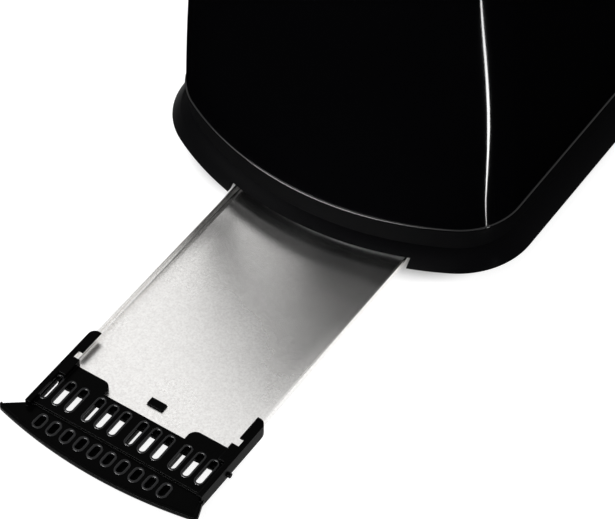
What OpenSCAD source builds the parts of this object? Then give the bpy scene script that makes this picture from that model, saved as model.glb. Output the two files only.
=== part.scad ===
// Two-slot pop up toaster with a slide-out crumb tray, shown with the tray drawn.
// X is the width, Y runs from the tray end to the lever end, Z is up from the table.

/* [Body] */
// Width of the base at its lowest edge
body_w = 191; // [176:1:220]
// Length of the base at its lowest edge
body_l = 290; // [274:1:330]
// Radius of the bowed ends, seen from above
end_r = 154; // [140:1:190]
// Radius of the four corners, seen from above
corner_r = 40; // [40:1:44]
// Height of the finished toaster
body_h = 188; // [180:1:200]
// Height of the base's lowest edge above the table
edge_z = 7; // [6.5:0.5:12]
// Wall thickness of the plastic mouldings
wall = 2.5; // [1.8:0.1:3]

/* [Base skirt] */
// Height of the flared foot of the skirt
flare_h = 8; // [5:0.5:9]
// How far the flare spreads beyond the band
flare_d = 8.6; // [6:0.2:10]
// Height of the upright band above the flare
band_h = 12; // [10:0.5:16]

/* [Outer shell] */
// How far the shell stands proud of the band
shell_proud = 1.4; // [0.6:0.1:2]
// Gap between the shell and the band
shell_gap = 0.4; // [0.3:0.1:1]
// Lean of the shell's wall at its foot, in degrees
shell_lean = 2; // [0:0.5:2.5]
// Radius of the barrel curve of the shell's wall
barrel_r = 1445; // [1300:5:2200]
// Radius between the shell's walls and its top
top_r = 18; // [14:0.5:18]

/* [Bread slots] */
// Width of each bread slot
slot_w = 32; // [26:1:34]
// Length of each bread slot
slot_l = 140; // [120:1:144]
// Distance between the middles of the two slots
slot_pitch = 58; // [56:1:62]
// Where the chassis' middle lies along the body
slot_y = -13; // [-16:1:-10]
// Thickness of the sheet metal
sheet = 1; // [0.8:0.1:1.4]
// Diameter of the guard wires
wire_d = 1.6; // [1.2:0.1:2]
// Number of guard wires on each side of a slot
wire_n = 9; // [6:1:12]

/* [Crumb tray] */
// Width of the tray over its flanges
tray_w = 90.2; // [84:0.2:92]
// Length of the steel pan
tray_l = 193.5; // [180:0.5:200]
// Offset of the tray to the right of the body's middle
tray_x = 9.7; // [6:0.1:12]
// Height of the tray's side flanges
tray_h = 4.6; // [4:0.1:5]
// Height of the tray's flanges above the skirt's edge
tray_rise = 2.8; // [2.6:0.1:3.2]
// Thickness of the tray's steel
tray_t = 0.6; // [0.5:0.1:0.8]
// How far the tray is drawn out at rest
tray_out = 158; // [150:1:160]

/* [Tray handle] */
// Distance from the pan's front end to the handle's front
grip_l = 33.7; // [32:0.5:36]
// Length of the arms that hold the pan's sides
arm_l = 46.1; // [44:0.1:52]
// Thickness of the arms
arm_t = 1.3; // [1.2:0.1:2]
// Radius of the handle's bowed front
grip_r = 231; // [200:1:300]
// How far each wing reaches beyond the arms
wing = 6.2; // [4:0.1:7]
// How far the front is set over, from the tray's middle to the body's
grip_x = 2.9; // [0:0.1:4]
// Width of the slots through the handle
vent_w = 3.8; // [3:0.1:4.4]
// Length of the slots in the raised plate
vent_l = 14.6; // [12:0.2:15]
// Length of the pockets in the front pan
vent_front_l = 7.4; // [5:0.2:8]

/* [Lever and carriage] */
// Travel of the carriage
travel = 72; // [60:1:74]
// Height of the lever when the carriage is up
lever_z = 144; // [142:1:150]
// Height of the bread racks when the carriage is up
rack_z = 116; // [112:1:120]
// Diameter of the guide rod
rod_d = 5; // [4:0.5:6]
// Outer diameter of the lift spring
spring_d = 9; // [8:0.5:10]
// Wire diameter of the lift spring
spring_wire = 1.2; // [0.8:0.1:1.4]
// Turns of the lift spring
spring_turns = 12; // [8:1:16]

/* [Controls] */
// Height of the dial's and the buttons' middles
panel_z = 46; // [45:0.5:48]
// Diameter of the browning dial
dial_d = 30; // [24:1:32]
// How far the dial stands out of the panel
dial_h = 12; // [9:0.5:14]
// Diameter of the buttons
button_d = 12; // [9:0.5:13]
// Travel of the buttons
button_travel = 2; // [1.5:0.1:2.2]
// Distance between neighbouring buttons
button_pitch = 16; // [15:0.5:18]

/* [Feet and cord inlet] */
// Diameter of the rubber feet
foot_d = 14; // [12:0.5:15]
// Diameter of the hole for the mains cord
cord_d = 6.8; // [6:0.1:7.4]

/* [Hidden] */
$fn = 64;

// Clearances
fit_gap = 0.3;      // between pieces that move past each other
seat_gap = 0.1;     // between a piece and the seat that carries it
run_gap = 0.05;     // radial, of a shaft in its bush

// Plan outline: all insets share these centres
corner_x = body_w / 2 - corner_r;
end_y = body_l / 2 - end_r;
end_a = asin(corner_x / (end_r - corner_r));
corner_y = end_y + sqrt(pow(end_r - corner_r, 2) - pow(corner_x, 2));

// Heights
flare_z = edge_z + flare_h;
band_z = flare_z + band_h;
flange_z = edge_z + tray_rise;
tray_gap = 1.4;                       // above the tray's flanges
mouth_z = flange_z + tray_gap;        // top of the tray's mouth in the skirt
ring_t = 2;                           // thickness of the skirt's inner ring
plate_z = mouth_z + sheet;            // top of the base plate
shell_z = band_z + shell_gap;
lip = 1.2;                            // rounding of the shell's lower lip
shell_in = flare_d - shell_proud;     // inset of the shell's foot
arc_z = body_h - top_r;
top_a = atan(tan(shell_lean) + (arc_z - shell_z) / barrel_r);
join_z = arc_z + top_r * sin(top_a);
arc_in = wall_in(join_z) + top_r * cos(top_a);

// Chassis
chamber_l = slot_l + 10;
chamber_y0 = slot_y - chamber_l / 2;
chamber_y1 = slot_y + chamber_l / 2;
end_plate_x = 58;
end_plate_top = body_h - 12;
shield_x = end_plate_x - sheet;
slot_x = slot_pitch / 2;
board_t = 1;
board_z0 = 34;
board_z1 = 164;
board_x = slot_x + slot_w / 2 + 6;
heat_t = 0.3;                         // thickness of the heating ribbon
heat_w = 1.4;
heat_pitch = 10;
wire_x = slot_w / 2 + wire_d / 2 - 0.3;

// Tray, counted from the pan's rear end
pan_y1 = -body_l / 2 + 66.7;          // rear end of the pan with the tray drawn
pan_y0 = pan_y1 - tray_l;
pan_z = flange_z - tray_h;            // underside of the pan
hem = 1.4;
grip_y = pan_y0 - grip_l;             // front of the handle
arm_x = tray_w / 2 + seat_gap;        // inner face of the arms
arm_top = flange_z + 0.8;
pan_lap = 2.4;                        // from the handle's seam to the pan's front edge
deck_z = flange_z - 1.5;              // raised plate of the handle
deck_t = 1.8;
grip_z = flange_z - 3;                // floor of the front pan
grip_t = 2.1;
rim_h = 1.4;
rim_t = 1.6;
crease_y = 18.2;                      // step between the raised plate and the front pan
mouth_w = 2 * (arm_x + arm_t + 0.5);

// Carriage
rod_y = chamber_y1 + 15;
bush_r = 5;
bracket_y = chamber_y1 + 8;
bracket_x = slot_x + 5;
bracket_z0 = rack_z - 8;
house_x = 7;
house_y1 = rod_y + 7;
bush_z0 = rack_z - 4;
lever_t = 3;
lever_h = 8;
knob_y = end_wall(panel_z + 20) + 1.5;
rod_top = end_plate_top - 4;
magnet_x = 22;
magnet_top = lever_z - travel + 2;

// Controls
board_y = 112;                        // inner face of the circuit board
pcb_t = 1.6;
panel_t = 1.2;                        // how far the panel stands proud of the shell
panel_w = 120;
panel_h = 34;
button_out = 2.6;
button_x = [-dial_d / 2 - 12 - button_pitch, -dial_d / 2 - 12,
            dial_d / 2 + 12, dial_d / 2 + 12 + button_pitch];
switch_l = 4;

// Screw posts and mains cord
post_in = 27;                         // inset of the screw posts
post_r = 4;
pad_r = 7;                            // pads under the posts
post_xy = [corner_x + (corner_r - post_in) * cos(45), corner_y + (corner_r - post_in) * sin(45)];
block_w = 12;                         // terminal block
block_l = 16;
block_gap = 0.75;                     // between the block and a post's pad
cord_y = post_xy[1] - pad_r - block_gap - block_l / 2;
cord_z = (flare_z + band_z) / 2;

// The part's origin lies below the middle of the rest pose
knob_l = 15;
origin_y = (grip_y + knob_y + knob_l) / 2;

// Inset of the shell's outer face from the plan outline at height z
function wall_in(z) = shell_in + tan(shell_lean) * (z - shell_z) + pow(z - shell_z, 2) / (2 * barrel_r);
// Y of the shell's outer face at the middle of the lever end
function end_wall(z) = body_l / 2 - wall_in(z);
// Points of an arc, from angle a0 to a1 in n steps
function arc(cx, cy, r, a0, a1, n) =
    [for (i = [0 : n]) let (a = a0 + (a1 - a0) * i / n) [cx + r * cos(a), cy + r * sin(a)]];

module place() {
    translate([0, -origin_y, 0]) children();
}

// Points of the body plan, inset by i: corners and bowed ends as arcs
corner_n = 10;
end_n = 16;

function half_plan(i) = concat(
    arc(corner_x, corner_y, corner_r - i, 0, 90 - end_a, corner_n),
    [for (k = [1 : end_n - 1]) let (a = 90 - end_a + 2 * end_a * k / end_n)
        [(end_r - i) * cos(a), end_y + (end_r - i) * sin(a)]],
    arc(-corner_x, corner_y, corner_r - i, 90 + end_a, 180, corner_n));
function plan_points(i) = concat(half_plan(i), -1 * half_plan(i));

// Sweeps a closed profile of [inset, height] points round the plan
module sweep_plan(profile) {
    m = len(profile);
    n = len(plan_points(0));
    points = [for (q = profile, xy = plan_points(q[0])) [xy[0], xy[1], q[1]]];
    faces = [for (i = [0 : m - 1], k = [0 : n - 1])
        let (j = (i + 1) % m, l = (k + 1) % n) [i * n + k, j * n + k, j * n + l, i * n + l]];
    polyhedron(points, faces);
}

// Copies a piece to the other side of the YZ plane
module both() {
    children();
    mirror([1, 0, 0]) children();
}

// Block between two opposite corners
module block(a, b) {
    translate(a) cube(b - a);
}

// Extrudes an XZ outline along Y, from y0 to y1
module along_y(y0, y1) {
    translate([0, y1, 0]) rotate([90, 0, 0]) linear_extrude(y1 - y0) children();
}

// Cylinder along Y, from y0 to y1
module rod_y(r, x, z, y0, y1) {
    translate([x, y0, z]) rotate([-90, 0, 0]) cylinder(h = y1 - y0, r = r);
}

// Rectangle with round corners, centred
module rounded(w, h, r) {
    square([w - 2 * r, h], center = true);
    square([w, h - 2 * r], center = true);
    for (x = [-1, 1], y = [-1, 1])
        translate([x * (w / 2 - r), y * (h / 2 - r)]) circle(r);
}

// Skirt: wall with a flared foot, inner ring, and the rim that locates the shell
edge_r = 0.6;
flare_r = 24;                         // radius of the flare's bulge
ring_in = 23;                         // inset of the ring's inner edge
rim_up = 7;                           // height of the locating rim
rim_wall = 1.8;
rim_in = shell_in + wall + 0.6;       // inset of the locating rim
pilot_r = 1.45;
foot_xy = [body_w / 2 - 20, 80];
stem_r = 2.4;
bush_r1 = cord_d / 2 + 1.2;           // cord bush, through the wall
bush_r2 = bush_r1 + 1.1;              // cord bush, flange
cord_x = -(body_w / 2 - flare_d);

// Points after a, along the arc of radius r that bulges to the left of a to b
function bulge(a, b, r, n) =
    let (h = norm(b - a) / 2, u = (b - a) / (2 * h), c = (a + b) / 2 + sqrt(r * r - h * h) * [u[1], -u[0]],
         a0 = atan2(a[1] - c[1], a[0] - c[0]), a1 = atan2(b[1] - c[1], b[0] - c[0]))
    [for (i = [1 : n]) c + r * [cos(a0 + (a1 - a0) * i / n), sin(a0 + (a1 - a0) * i / n)]];

// Places a piece at each of the four screw posts, or feet
module at_four(xy) {
    for (x = [-1, 1], y = [-1, 1]) translate([x * xy[0], y * xy[1], 0]) children();
}

module base_skirt() {
    profile = concat(
        arc(edge_r, edge_z + edge_r, edge_r, 270, 180, 2),
        bulge([0, edge_z + edge_r], [flare_d, flare_z], flare_r, 5),
        [[flare_d, band_z], [rim_in, band_z], [rim_in, band_z + rim_up],
         [rim_in + rim_wall, band_z + rim_up], [rim_in + rim_wall, band_z - 5],
         [flare_d + wall, band_z - 6], [flare_d + wall, plate_z + ring_t],
         [ring_in, plate_z + ring_t], [ring_in, plate_z],
         [wall * 1.3 + flare_d * (plate_z - edge_z) / flare_h, plate_z], [wall * 1.1, edge_z]]);
    color("#1b1b1c") place() difference() {
        union() {
            sweep_plan(profile);
            at_four(post_xy) translate([0, 0, plate_z]) cylinder(h = ring_t, r = pad_r);
        }
        block([tray_x - mouth_w / 2, -body_l / 2 - 1, 0], [tray_x + mouth_w / 2, -corner_y - 10, mouth_z]);
        block([-panel_w / 2 - 6, corner_y, band_z], [panel_w / 2 + 6, body_l / 2, band_z + rim_up + 1]);
        at_four(post_xy) translate([0, 0, plate_z - 1]) cylinder(h = ring_t + 2, r = pilot_r + 0.3);
        at_four(foot_xy) translate([0, 0, plate_z - 1]) cylinder(h = ring_t + 2, r = stem_r + seat_gap);
        translate([cord_x - 1, cord_y, cord_z]) rotate([0, 90, 0])
            cylinder(h = wall + 4, r = bush_r1 + seat_gap);
    }
}

// Steps up the shell's wall
wall_n = 6;
// Top of the screw posts: their outer side ends in the middle of the rounded wall
post_z0 = plate_z + ring_t + seat_gap;
post_z1 = arc_z + sqrt(pow(top_r - wall / 2, 2) - pow(arc_in - post_in + post_r, 2));

module outer_shell() {
    step = (arc_z - shell_z - lip) / wall_n;
    outer = concat(
        arc(wall_in(shell_z + lip) + lip, shell_z + lip, lip, 270, 180, 3),
        [for (i = [1 : wall_n - 1]) let (z = shell_z + lip + step * i) [wall_in(z), z]],
        arc(arc_in, arc_z, top_r, 180 - top_a, 90, 8),
        [[arc_in + 1, body_h], [arc_in + 1, body_h - wall]]);
    inner = concat(
        arc(arc_in, arc_z, top_r - wall, 90, 180 - top_a, 5),
        [for (i = [wall_n - 1 : -1 : 0]) let (z = shell_z + step * i) [wall_in(z) + wall, z]]);
    color("#050506") place() difference() {
        union() {
            sweep_plan(concat(outer, inner));
            translate([0, 0, body_h - wall]) linear_extrude(wall) polygon(plan_points(arc_in + 0.5));
            at_four(post_xy) translate([0, 0, post_z0]) cylinder(h = post_z1 - post_z0, r = post_r);
        }
        translate([0, slot_y, body_h - wall - 1]) linear_extrude(wall + 2)
            rounded(2 * (frame_x + seat_gap), 2 * (frame_y + seat_gap), frame_r + seat_gap);
        block([-lever_t / 2 - 0.8, corner_y, lever_z - travel - lever_h / 2 - 1],
              [lever_t / 2 + 0.8, body_l / 2, lever_z + lever_h / 2 + 1]);
        along_y(corner_y, body_l / 2) translate([0, panel_z])
            rounded(panel_w + 2 * seat_gap, panel_h + 2 * seat_gap, panel_r + seat_gap);
        at_four(post_xy) translate([0, 0, plate_z]) cylinder(h = 24, r = pilot_r);
    }
}

// Slot frame: shallow steel cap, sunk into the shell's top
frame_x = slot_x + slot_w / 2 + 9;
frame_y = chamber_l / 2 + sheet;
frame_r = 3;
lip_z = end_plate_top + 4;            // lower edge of the lips round the slots

module slot_frame() {
    color("#b9bbbd") place() translate([0, slot_y, 0]) difference() {
        union() {
            difference() {
                translate([0, 0, lip_z]) linear_extrude(body_h - lip_z)
                    rounded(2 * frame_x, 2 * frame_y, frame_r);
                translate([0, 0, lip_z - 1]) linear_extrude(body_h - sheet - lip_z + 1)
                    rounded(2 * (frame_x - sheet), 2 * (frame_y - sheet), frame_r - sheet);
            }
            both() block([slot_x - slot_w / 2 - sheet, -slot_l / 2 - sheet, lip_z],
                         [slot_x + slot_w / 2 + sheet, slot_l / 2 + sheet, body_h - 0.1]);
            for (s = [-1, 1]) both()
                block([30, s * (frame_y - sheet / 2) - sheet / 2, end_plate_top],
                      [44, s * (frame_y - sheet / 2) + sheet / 2, lip_z + 1]);
        }
        both() block([slot_x - slot_w / 2, -slot_l / 2, lip_z - 1],
                     [slot_x + slot_w / 2, slot_l / 2, body_h + 1]);
    }
}

// Sheet steel floor, with the crumb opening over the tray and two tabs for the circuit board
plate_in = 11.8;                      // inset of the floor's edge
crumb_x = 43;                         // half the width of the crumb opening

module base_plate() {
    color("#9a9c9e") place() {
        difference() {
            translate([0, 0, mouth_z]) linear_extrude(sheet) polygon(plan_points(plate_in));
            block([tray_x - crumb_x, chamber_y0 + 2, mouth_z - 1],
                  [tray_x + crumb_x, chamber_y1 - 2, plate_z + 1]);
            at_four(post_xy) translate([0, 0, mouth_z - 1]) cylinder(h = sheet + 2, r = pilot_r + 0.3);
            at_four(foot_xy) translate([0, 0, mouth_z - 1]) cylinder(h = sheet + 2, r = stem_r + seat_gap);
            chassis_screw_places() cylinder(h = 2 * sheet + 2, r = 1.3);
        }
        both() block([30, board_y - sheet, plate_z - 0.2], [40, board_y, plate_z + 14]);
    }
}

// Where the end plates' feet are screwed down: on the lower face of the floor
module chassis_screw_places() {
    for (x = [-44, 44], y = [chamber_y0 - 6, chamber_y1 + 6])
        translate([x, y, mouth_z]) translate([0, 0, -0.01]) children();
}

// Tray runners: folded strips beside the tray, with a ledge under its pan
web_x = arm_x + arm_t + 0.6;
runner_y0 = -111;                     // behind the handle's nubs, with the tray shut
ledge_y0 = -82;
runner_y1 = pan_y1 + tray_out + 3;
ledge_z = pan_z - seat_gap;
ledge_w = 7;                          // ledge under the pan
runner_w = 8;                         // flange against the floor

module tray_runner() {
    translate([tray_x, 0, 0]) {
        block([web_x, runner_y0, ledge_z - sheet], [web_x + sheet, runner_y1, mouth_z]);
        block([web_x, ledge_y0, mouth_z - sheet], [web_x + runner_w, runner_y1, mouth_z]);
        block([tray_w / 2 - ledge_w, ledge_y0, ledge_z - sheet], [web_x + sheet, runner_y1, ledge_z]);
    }
}

module tray_runner_right() {
    color("#a6a8aa") place() tray_runner();
}

module tray_runner_left() {
    color("#a6a8aa") place() translate([2 * tray_x, 0, 0]) mirror([1, 0, 0]) tray_runner();
}

// Crumb tray: steel pan with hemmed side flanges and an upturned rear edge
module crumb_tray() {
    w = tray_w / 2;
    color("#c9c9c8") place() translate([tray_x, 0, 0]) {
        difference() {
            block([-w, pan_y0 + pan_lap, pan_z], [w, pan_y1, pan_z + tray_t]);
            translate([0, grip_y + clip_y, pan_z])
                block([-clip_w / 2 - fit_gap, -fit_gap, -1], [clip_w / 2 + fit_gap, clip_l + fit_gap, 2]);
        }
        both() {
            block([w - tray_t, pan_y0 + pan_lap, pan_z], [w, pan_y1, flange_z - hem / 2]);
            rod_y(hem / 2, w - hem / 2, flange_z - hem / 2, pan_y0 + pan_lap, pan_y1);
        }
        block([-w, pan_y1 - tray_t, pan_z], [w, pan_y1, flange_z]);
    }
}

// Tray handle, drawn about the middle of its bowed front edge
tip_r = 2;
tip_x = arm_x + arm_t + wing - tip_r;
back_y = grip_l - 17.5;               // where the wings meet the arms
arm_y1 = back_y + arm_l;
grip_z0 = grip_z - grip_t;            // underside of the front pan
under_in = 1.2;                       // the pan's underside is set in
under_z = grip_z0 + 1.2;
foot_z = pan_z - 1.6;                 // lowest edge of the handle
rib_z = foot_z + 0.2;                 // underside of the ribs and the tongue
deck_y1 = grip_l + 3;                 // rear edge of the raised plate
tongue_l = 15.5;                      // of the tongue under the pan
clip_w = 7.8;
clip_l = 3.8;
clip_y = grip_l + 10.6;
vent_y = deck_y1 - 1.8 - vent_l;
vent_shift = -1.5;                    // of the through slots, from the tray's middle
pocket_y = 6.9;                       // front end of the pockets
group_x = 22.9;                       // between the groups of slots
vent_x = 6.9;                         // between the slots of a group
vent_front_x = 7.3;                   // between the slots of the front pan
rib_x = 10;                           // from the middle of a group to its ribs
rib_t = 1.6;
hook_l = 13.5;
hook_w = 3.4;
hook_r = 3.4;
arm_lip = 1.2;
nub_r = 1.2;
nub_h = 1.2;
nub_y = grip_l;
tab_x = 21.5;
tab_w = 20;
tab_l = 8;
tab_r = 4;
tab_y1 = grip_l + 1.3 + tab_l;         // rear edge of the tabs

// X of a tip's middle, as a distance, and its Y; t is the side, -1 or 1
function tip(t) = abs(t * tip_x - grip_x);
function tip_y(t) = grip_r - sqrt(pow(grip_r - tip_r, 2) - pow(tip(t), 2));
// Where the edge from a tip to the arm leaves the tip, inset by i
function tip_edge(t, i) =
    let (d = [arm_x + arm_t - i - tip(t), back_y - tip_y(t)],
         a = atan2(d[1], d[0]) - acos((tip_r - i) / norm(d)))
    [t * (tip(t) + (tip_r - i) * cos(a)), tip_y(t) + (tip_r - i) * sin(a)];

// Front of the handle, inset by i
module grip_plan(i = 0) {
    ax = arm_x + arm_t - i;
    intersection() {
        translate([0, grip_r]) circle(grip_r - i, $fn = 300);
        polygon([[-tip(-1), 0], [tip(1), 0], [tip(1), tip_y(1)], tip_edge(1, i), [ax, back_y], [ax, back_y + 1],
                 [-ax, back_y + 1], [-ax, back_y], tip_edge(-1, i), [-tip(-1), tip_y(-1)]]);
    }
    for (t = [-1, 1]) translate([t * tip(t), tip_y(t)]) circle(tip_r - i);
}

// Underside of the front pan, set in from its edge
module grip_under() {
    intersection() {
        translate([0, grip_r]) circle(grip_r - under_in, $fn = 300);
        polygon([[-tip(-1), 0], [tip(1) - 1, 0], [arm_x + 0.5, back_y - 4], [arm_x + 0.5, back_y + 0.8],
                 [-arm_x - 0.5, back_y + 0.8], [-arm_x - 0.5, back_y - 1]]);
    }
}

module tray_handle() {
    ax = arm_x + arm_t;
    arm = concat([[back_y - 2, foot_z]], arc(arm_y1 - 5, foot_z + 5, 5, -90, 0, 5),
                 [[arm_y1, arm_top], [back_y - 2, arm_top]]);
    color("#141415") place() translate([tray_x, grip_y, 0]) {
        difference() {
            union() {
                translate([0, 0, grip_z0]) linear_extrude(grip_t - 0.2) grip_under();
                translate([0, 0, under_z]) linear_extrude(grip_z - under_z) grip_plan();
                translate([0, 0, under_z]) linear_extrude(grip_z + rim_h - under_z) difference() {
                    grip_plan();
                    grip_plan(rim_t);
                    translate([-tray_x, end_r - body_l / 2 - grip_y - tray_out]) circle(end_r + 0.4, $fn = 300);
                    translate([-arm_x, back_y - 2]) square([2 * arm_x, 4]);
                }
                translate([-grip_x, 0, 0])
                    block([-5 * vent_front_x, pocket_y - 1.4, rib_z], [5 * vent_front_x, back_y + 1, grip_z0]);
                block([-ax, back_y + 0.5, foot_z], [ax, crease_y + 1.6, deck_z]);
                block([-arm_x - 0.5, crease_y, deck_z - deck_t], [arm_x + 0.5, grip_l - 0.2, deck_z]);
                block([hem - arm_x + 0.4, crease_y, deck_z - deck_t], [arm_x - hem - 0.4, deck_y1, deck_z]);
                for (s = [-1.5, -0.5, 0.5, 1.5], t = [-1, 1])
                    translate([s * group_x + t * rib_x + vent_shift, 0, 0])
                        block([-rib_t / 2, crease_y, rib_z], [rib_t / 2, grip_l - 0.1, deck_z - 1]);
                block([-arm_x - 0.5, grip_l - 1.8, rib_z], [arm_x + 0.5, grip_l + tongue_l, pan_z - seat_gap]);
                block([-arm_x - 0.5, grip_l - 1.8, rib_z],
                      [arm_x + 0.5, grip_l + pan_lap - seat_gap, deck_z - 1]);
                block([-clip_w / 2, clip_y, rib_z], [clip_w / 2, clip_y + clip_l, pan_z + tray_t + 1.2]);
                both() {
                    translate([arm_x, 0, 0]) rotate([90, 0, 90]) linear_extrude(arm_t) polygon(arm);
                    block([arm_x - arm_lip, back_y - 2, flange_z + seat_gap], [ax, arm_y1, arm_top]);
                    block([arm_x - arm_lip, back_y, rib_z], [ax, grip_l - 0.2, arm_top]);
                    block([arm_x - hook_w, arm_y1 - hook_l, flange_z + seat_gap], [ax, arm_y1, arm_top]);
                    translate([ax - 0.1, nub_y, foot_z + nub_r]) rotate([0, 90, 0])
                        cylinder(h = nub_h + 0.1, r = nub_r);
                    tab();
                    block([tab_x + tab_w - 1, grip_l + 1, pan_z + tray_t + seat_gap],
                          [tray_w / 2 - hem - 0.3, tab_y1 + 1.8, arm_top]);
                    block([tray_w / 2 - hem - 1, grip_l + 1, flange_z + seat_gap], [ax, tab_y1 + 1.8, arm_top]);
                }
            }
            for (g = [-1.5, -0.5, 0.5, 1.5], i = [-1, 0, 1])
                vent(g * group_x + i * vent_x + vent_shift, vent_y, vent_l, foot_z - 1, deck_z + 0.01);
            for (i = [-4.5 : 4.5]) vent(i * vent_front_x - grip_x, pocket_y, vent_front_l, grip_z0, arm_top);
            both() translate([ax - hook_r, arm_y1 - hook_r, foot_z - 1])
                linear_extrude(arm_top - foot_z + 2) difference() {
                    square(hook_r + 1);
                    circle(hook_r);
                }
        }
    }
}

// Tab over the front edge of the pan, with one round corner
module tab() {
    translate([0, 0, pan_z + tray_t + seat_gap]) linear_extrude(deck_z - pan_z - tray_t - seat_gap) {
        translate([tab_x + tab_r, grip_l + 1]) square([tab_w - tab_r, tab_y1 - grip_l - 1]);
        translate([tab_x, grip_l + 1]) square([tab_w, tab_y1 - grip_l - 1 - tab_r]);
        translate([tab_x + tab_r, tab_y1 - tab_r]) circle(tab_r);
    }
}

// Slot in the handle, cut from z0 to z1
module vent(x, y, l, z0, z1) {
    translate([x, y, z0]) linear_extrude(z1 - z0) {
        translate([-vent_w / 2, vent_w / 2]) square([vent_w, l - vent_w]);
        for (e = [vent_w / 2, l - vent_w / 2]) translate([0, e]) circle(vent_w / 2);
    }
}

// Chassis end plate: sheet with a foot folded outward; s is the side that it faces
plate_foot_x = end_plate_x - 8;
plate_foot_l = 11;

module end_plate(s) {
    y = s < 0 ? chamber_y0 - sheet : chamber_y1;
    difference() {
        union() {
            block([-end_plate_x, y, plate_z], [end_plate_x, y + sheet, end_plate_top]);
            translate([0, y + sheet / 2, plate_z]) scale([1, s, 1])
                block([-plate_foot_x, -sheet / 2, 0], [plate_foot_x, sheet / 2 + plate_foot_l, sheet]);
        }
        chassis_screw_places() cylinder(h = 4, r = 1.3);
    }
}

module front_end_plate() {
    color("#b4b6b8") place() end_plate(-1);
}

module rear_end_plate() {
    color("#b4b6b8") place() difference() {
        union() {
            end_plate(1);
            block([-8, chamber_y1, rod_top], [8, rod_y + 6, rod_top + sheet]);
        }
        both() block([slot_x - sheet / 2 - 0.6, chamber_y1 - 1, rack_z - travel - rack_h - 1],
                     [slot_x + sheet / 2 + 0.6, chamber_y1 + 2, rack_z + 1]);
    }
}

// Reflector between the end plates, along one side of the chamber
module side_shield() {
    block([shield_x, chamber_y0, plate_z], [end_plate_x, chamber_y1, end_plate_top]);
}

module side_shield_right() {
    color("#d0d2d4") place() side_shield();
}

module side_shield_left() {
    color("#d0d2d4") place() mirror([1, 0, 0]) side_shield();
}

// Sloping sheet from a reflector to the edge of the crumb opening
module crumb_chute(x0, x1) {
    t = x0 < x1 ? 1 : -1;
    along_y(chamber_y0, chamber_y1)
        polygon([[x0, 30], [x1, plate_z], [x1 - t * 2, plate_z], [x0, 29]]);
}

module crumb_chute_left() {
    color("#c4c6c8") place() crumb_chute(-shield_x, tray_x - crumb_x);
}

module crumb_chute_right() {
    color("#c4c6c8") place() crumb_chute(shield_x, tray_x + crumb_x);
}

// Mica board between the end plates
module heater_board(x) {
    color("#b5a888") place()
        block([x - board_t / 2, chamber_y0, board_z0], [x + board_t / 2, chamber_y1, board_z1]);
}

module heater_board_left() {
    heater_board(-board_x);
}

module heater_board_centre() {
    heater_board(0);
}

module heater_board_right() {
    heater_board(board_x);
}

// Ribbon laid to and fro on a board's face; x0 is its lower face, along X
module heating_ribbon(x0) {
    y0 = chamber_y0 + 8;
    y1 = chamber_y1 - 8;
    n = floor((board_z1 - board_z0 - 16) / heat_pitch);
    for (i = [0 : n]) {
        z = board_z0 + 8 + i * heat_pitch;
        block([x0, y0, z], [x0 + heat_t, y1, z + heat_w]);
        if (i < n) {
            y = i % 2 == 0 ? y0 : y1 - heat_w;
            block([x0, y, z], [x0 + heat_t, y + heat_w, z + heat_pitch + heat_w]);
        }
    }
}

module heating_wire_left() {
    color("#8a6f5c") place() heating_ribbon(-board_x + board_t / 2);
}

module heating_wire_centre() {
    color("#8a6f5c") place() {
        heating_ribbon(board_t / 2);
        heating_ribbon(-board_t / 2 - heat_t);
    }
}

module heating_wire_right() {
    color("#8a6f5c") place() heating_ribbon(board_x - board_t / 2 - heat_t);
}

// Grid of upright wires on one side of a slot; s is the side that its rails are on
module guard_wires(x, s) {
    color("#c8cacc") place() {
        for (i = [0 : wire_n - 1])
            translate([x, slot_y + (i / (wire_n - 1) - 0.5) * (slot_l - 6), board_z0 - 4])
                cylinder(h = end_plate_top - board_z0, d = wire_d);
        for (z = [board_z0 - 1, end_plate_top - 6])
            rod_y(wire_d / 2, x + s * wire_d * 0.9, z, chamber_y0, chamber_y1);
    }
}

module guard_wires_left_outer() {
    guard_wires(-slot_x - wire_x, -1);
}

module guard_wires_left_inner() {
    guard_wires(-slot_x + wire_x, 1);
}

module guard_wires_right_inner() {
    guard_wires(slot_x - wire_x, -1);
}

module guard_wires_right_outer() {
    guard_wires(slot_x + wire_x, 1);
}

module guide_rod() {
    color("#cfd1d3") place() translate([0, rod_y, plate_z]) cylinder(h = rod_top - plate_z, d = rod_d);
}

// Lift spring: a round wire coiled about the guide rod
coil_seg = 16;
coil_side = 6;

module lift_spring() {
    n = spring_turns * coil_seg;
    r = (spring_d - spring_wire) / 2;
    w = spring_wire / 2;
    h = bracket_z0 + 3 - plate_z - 2 * w - 0.2;
    ring = [for (i = [0 : n], j = [0 : coil_side - 1])
        let (a = 360 * i / coil_seg, b = 360 * j / coil_side)
        [(r + w * cos(b)) * cos(a), (r + w * cos(b)) * sin(a), w * sin(b) + h * i / n]];
    caps = [[for (j = [0 : coil_side - 1]) j], [for (j = [coil_side - 1 : -1 : 0]) n * coil_side + j]];
    sides = [for (i = [0 : n - 1], j = [0 : coil_side - 1])
        let (k = i * coil_side, m = (j + 1) % coil_side)
        [k + j, k + coil_side + j, k + coil_side + m, k + m]];
    color("#8d8f91") place() translate([0, rod_y, plate_z + w + 0.1])
        polyhedron(ring, concat(caps, sides));
}

// Carriage bracket: cross plate, channel about the bush, keeper shelf and lever, folded from sheet
rack_h = 8;
bush_h = 16;
keeper_x0 = magnet_x - 8;
keeper_x1 = magnet_x + 8;
keeper_t = 3;
keeper_z = magnet_top + travel;
bracket_top = keeper_z + keeper_t + sheet;
lever_y1 = knob_y + 9;

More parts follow.
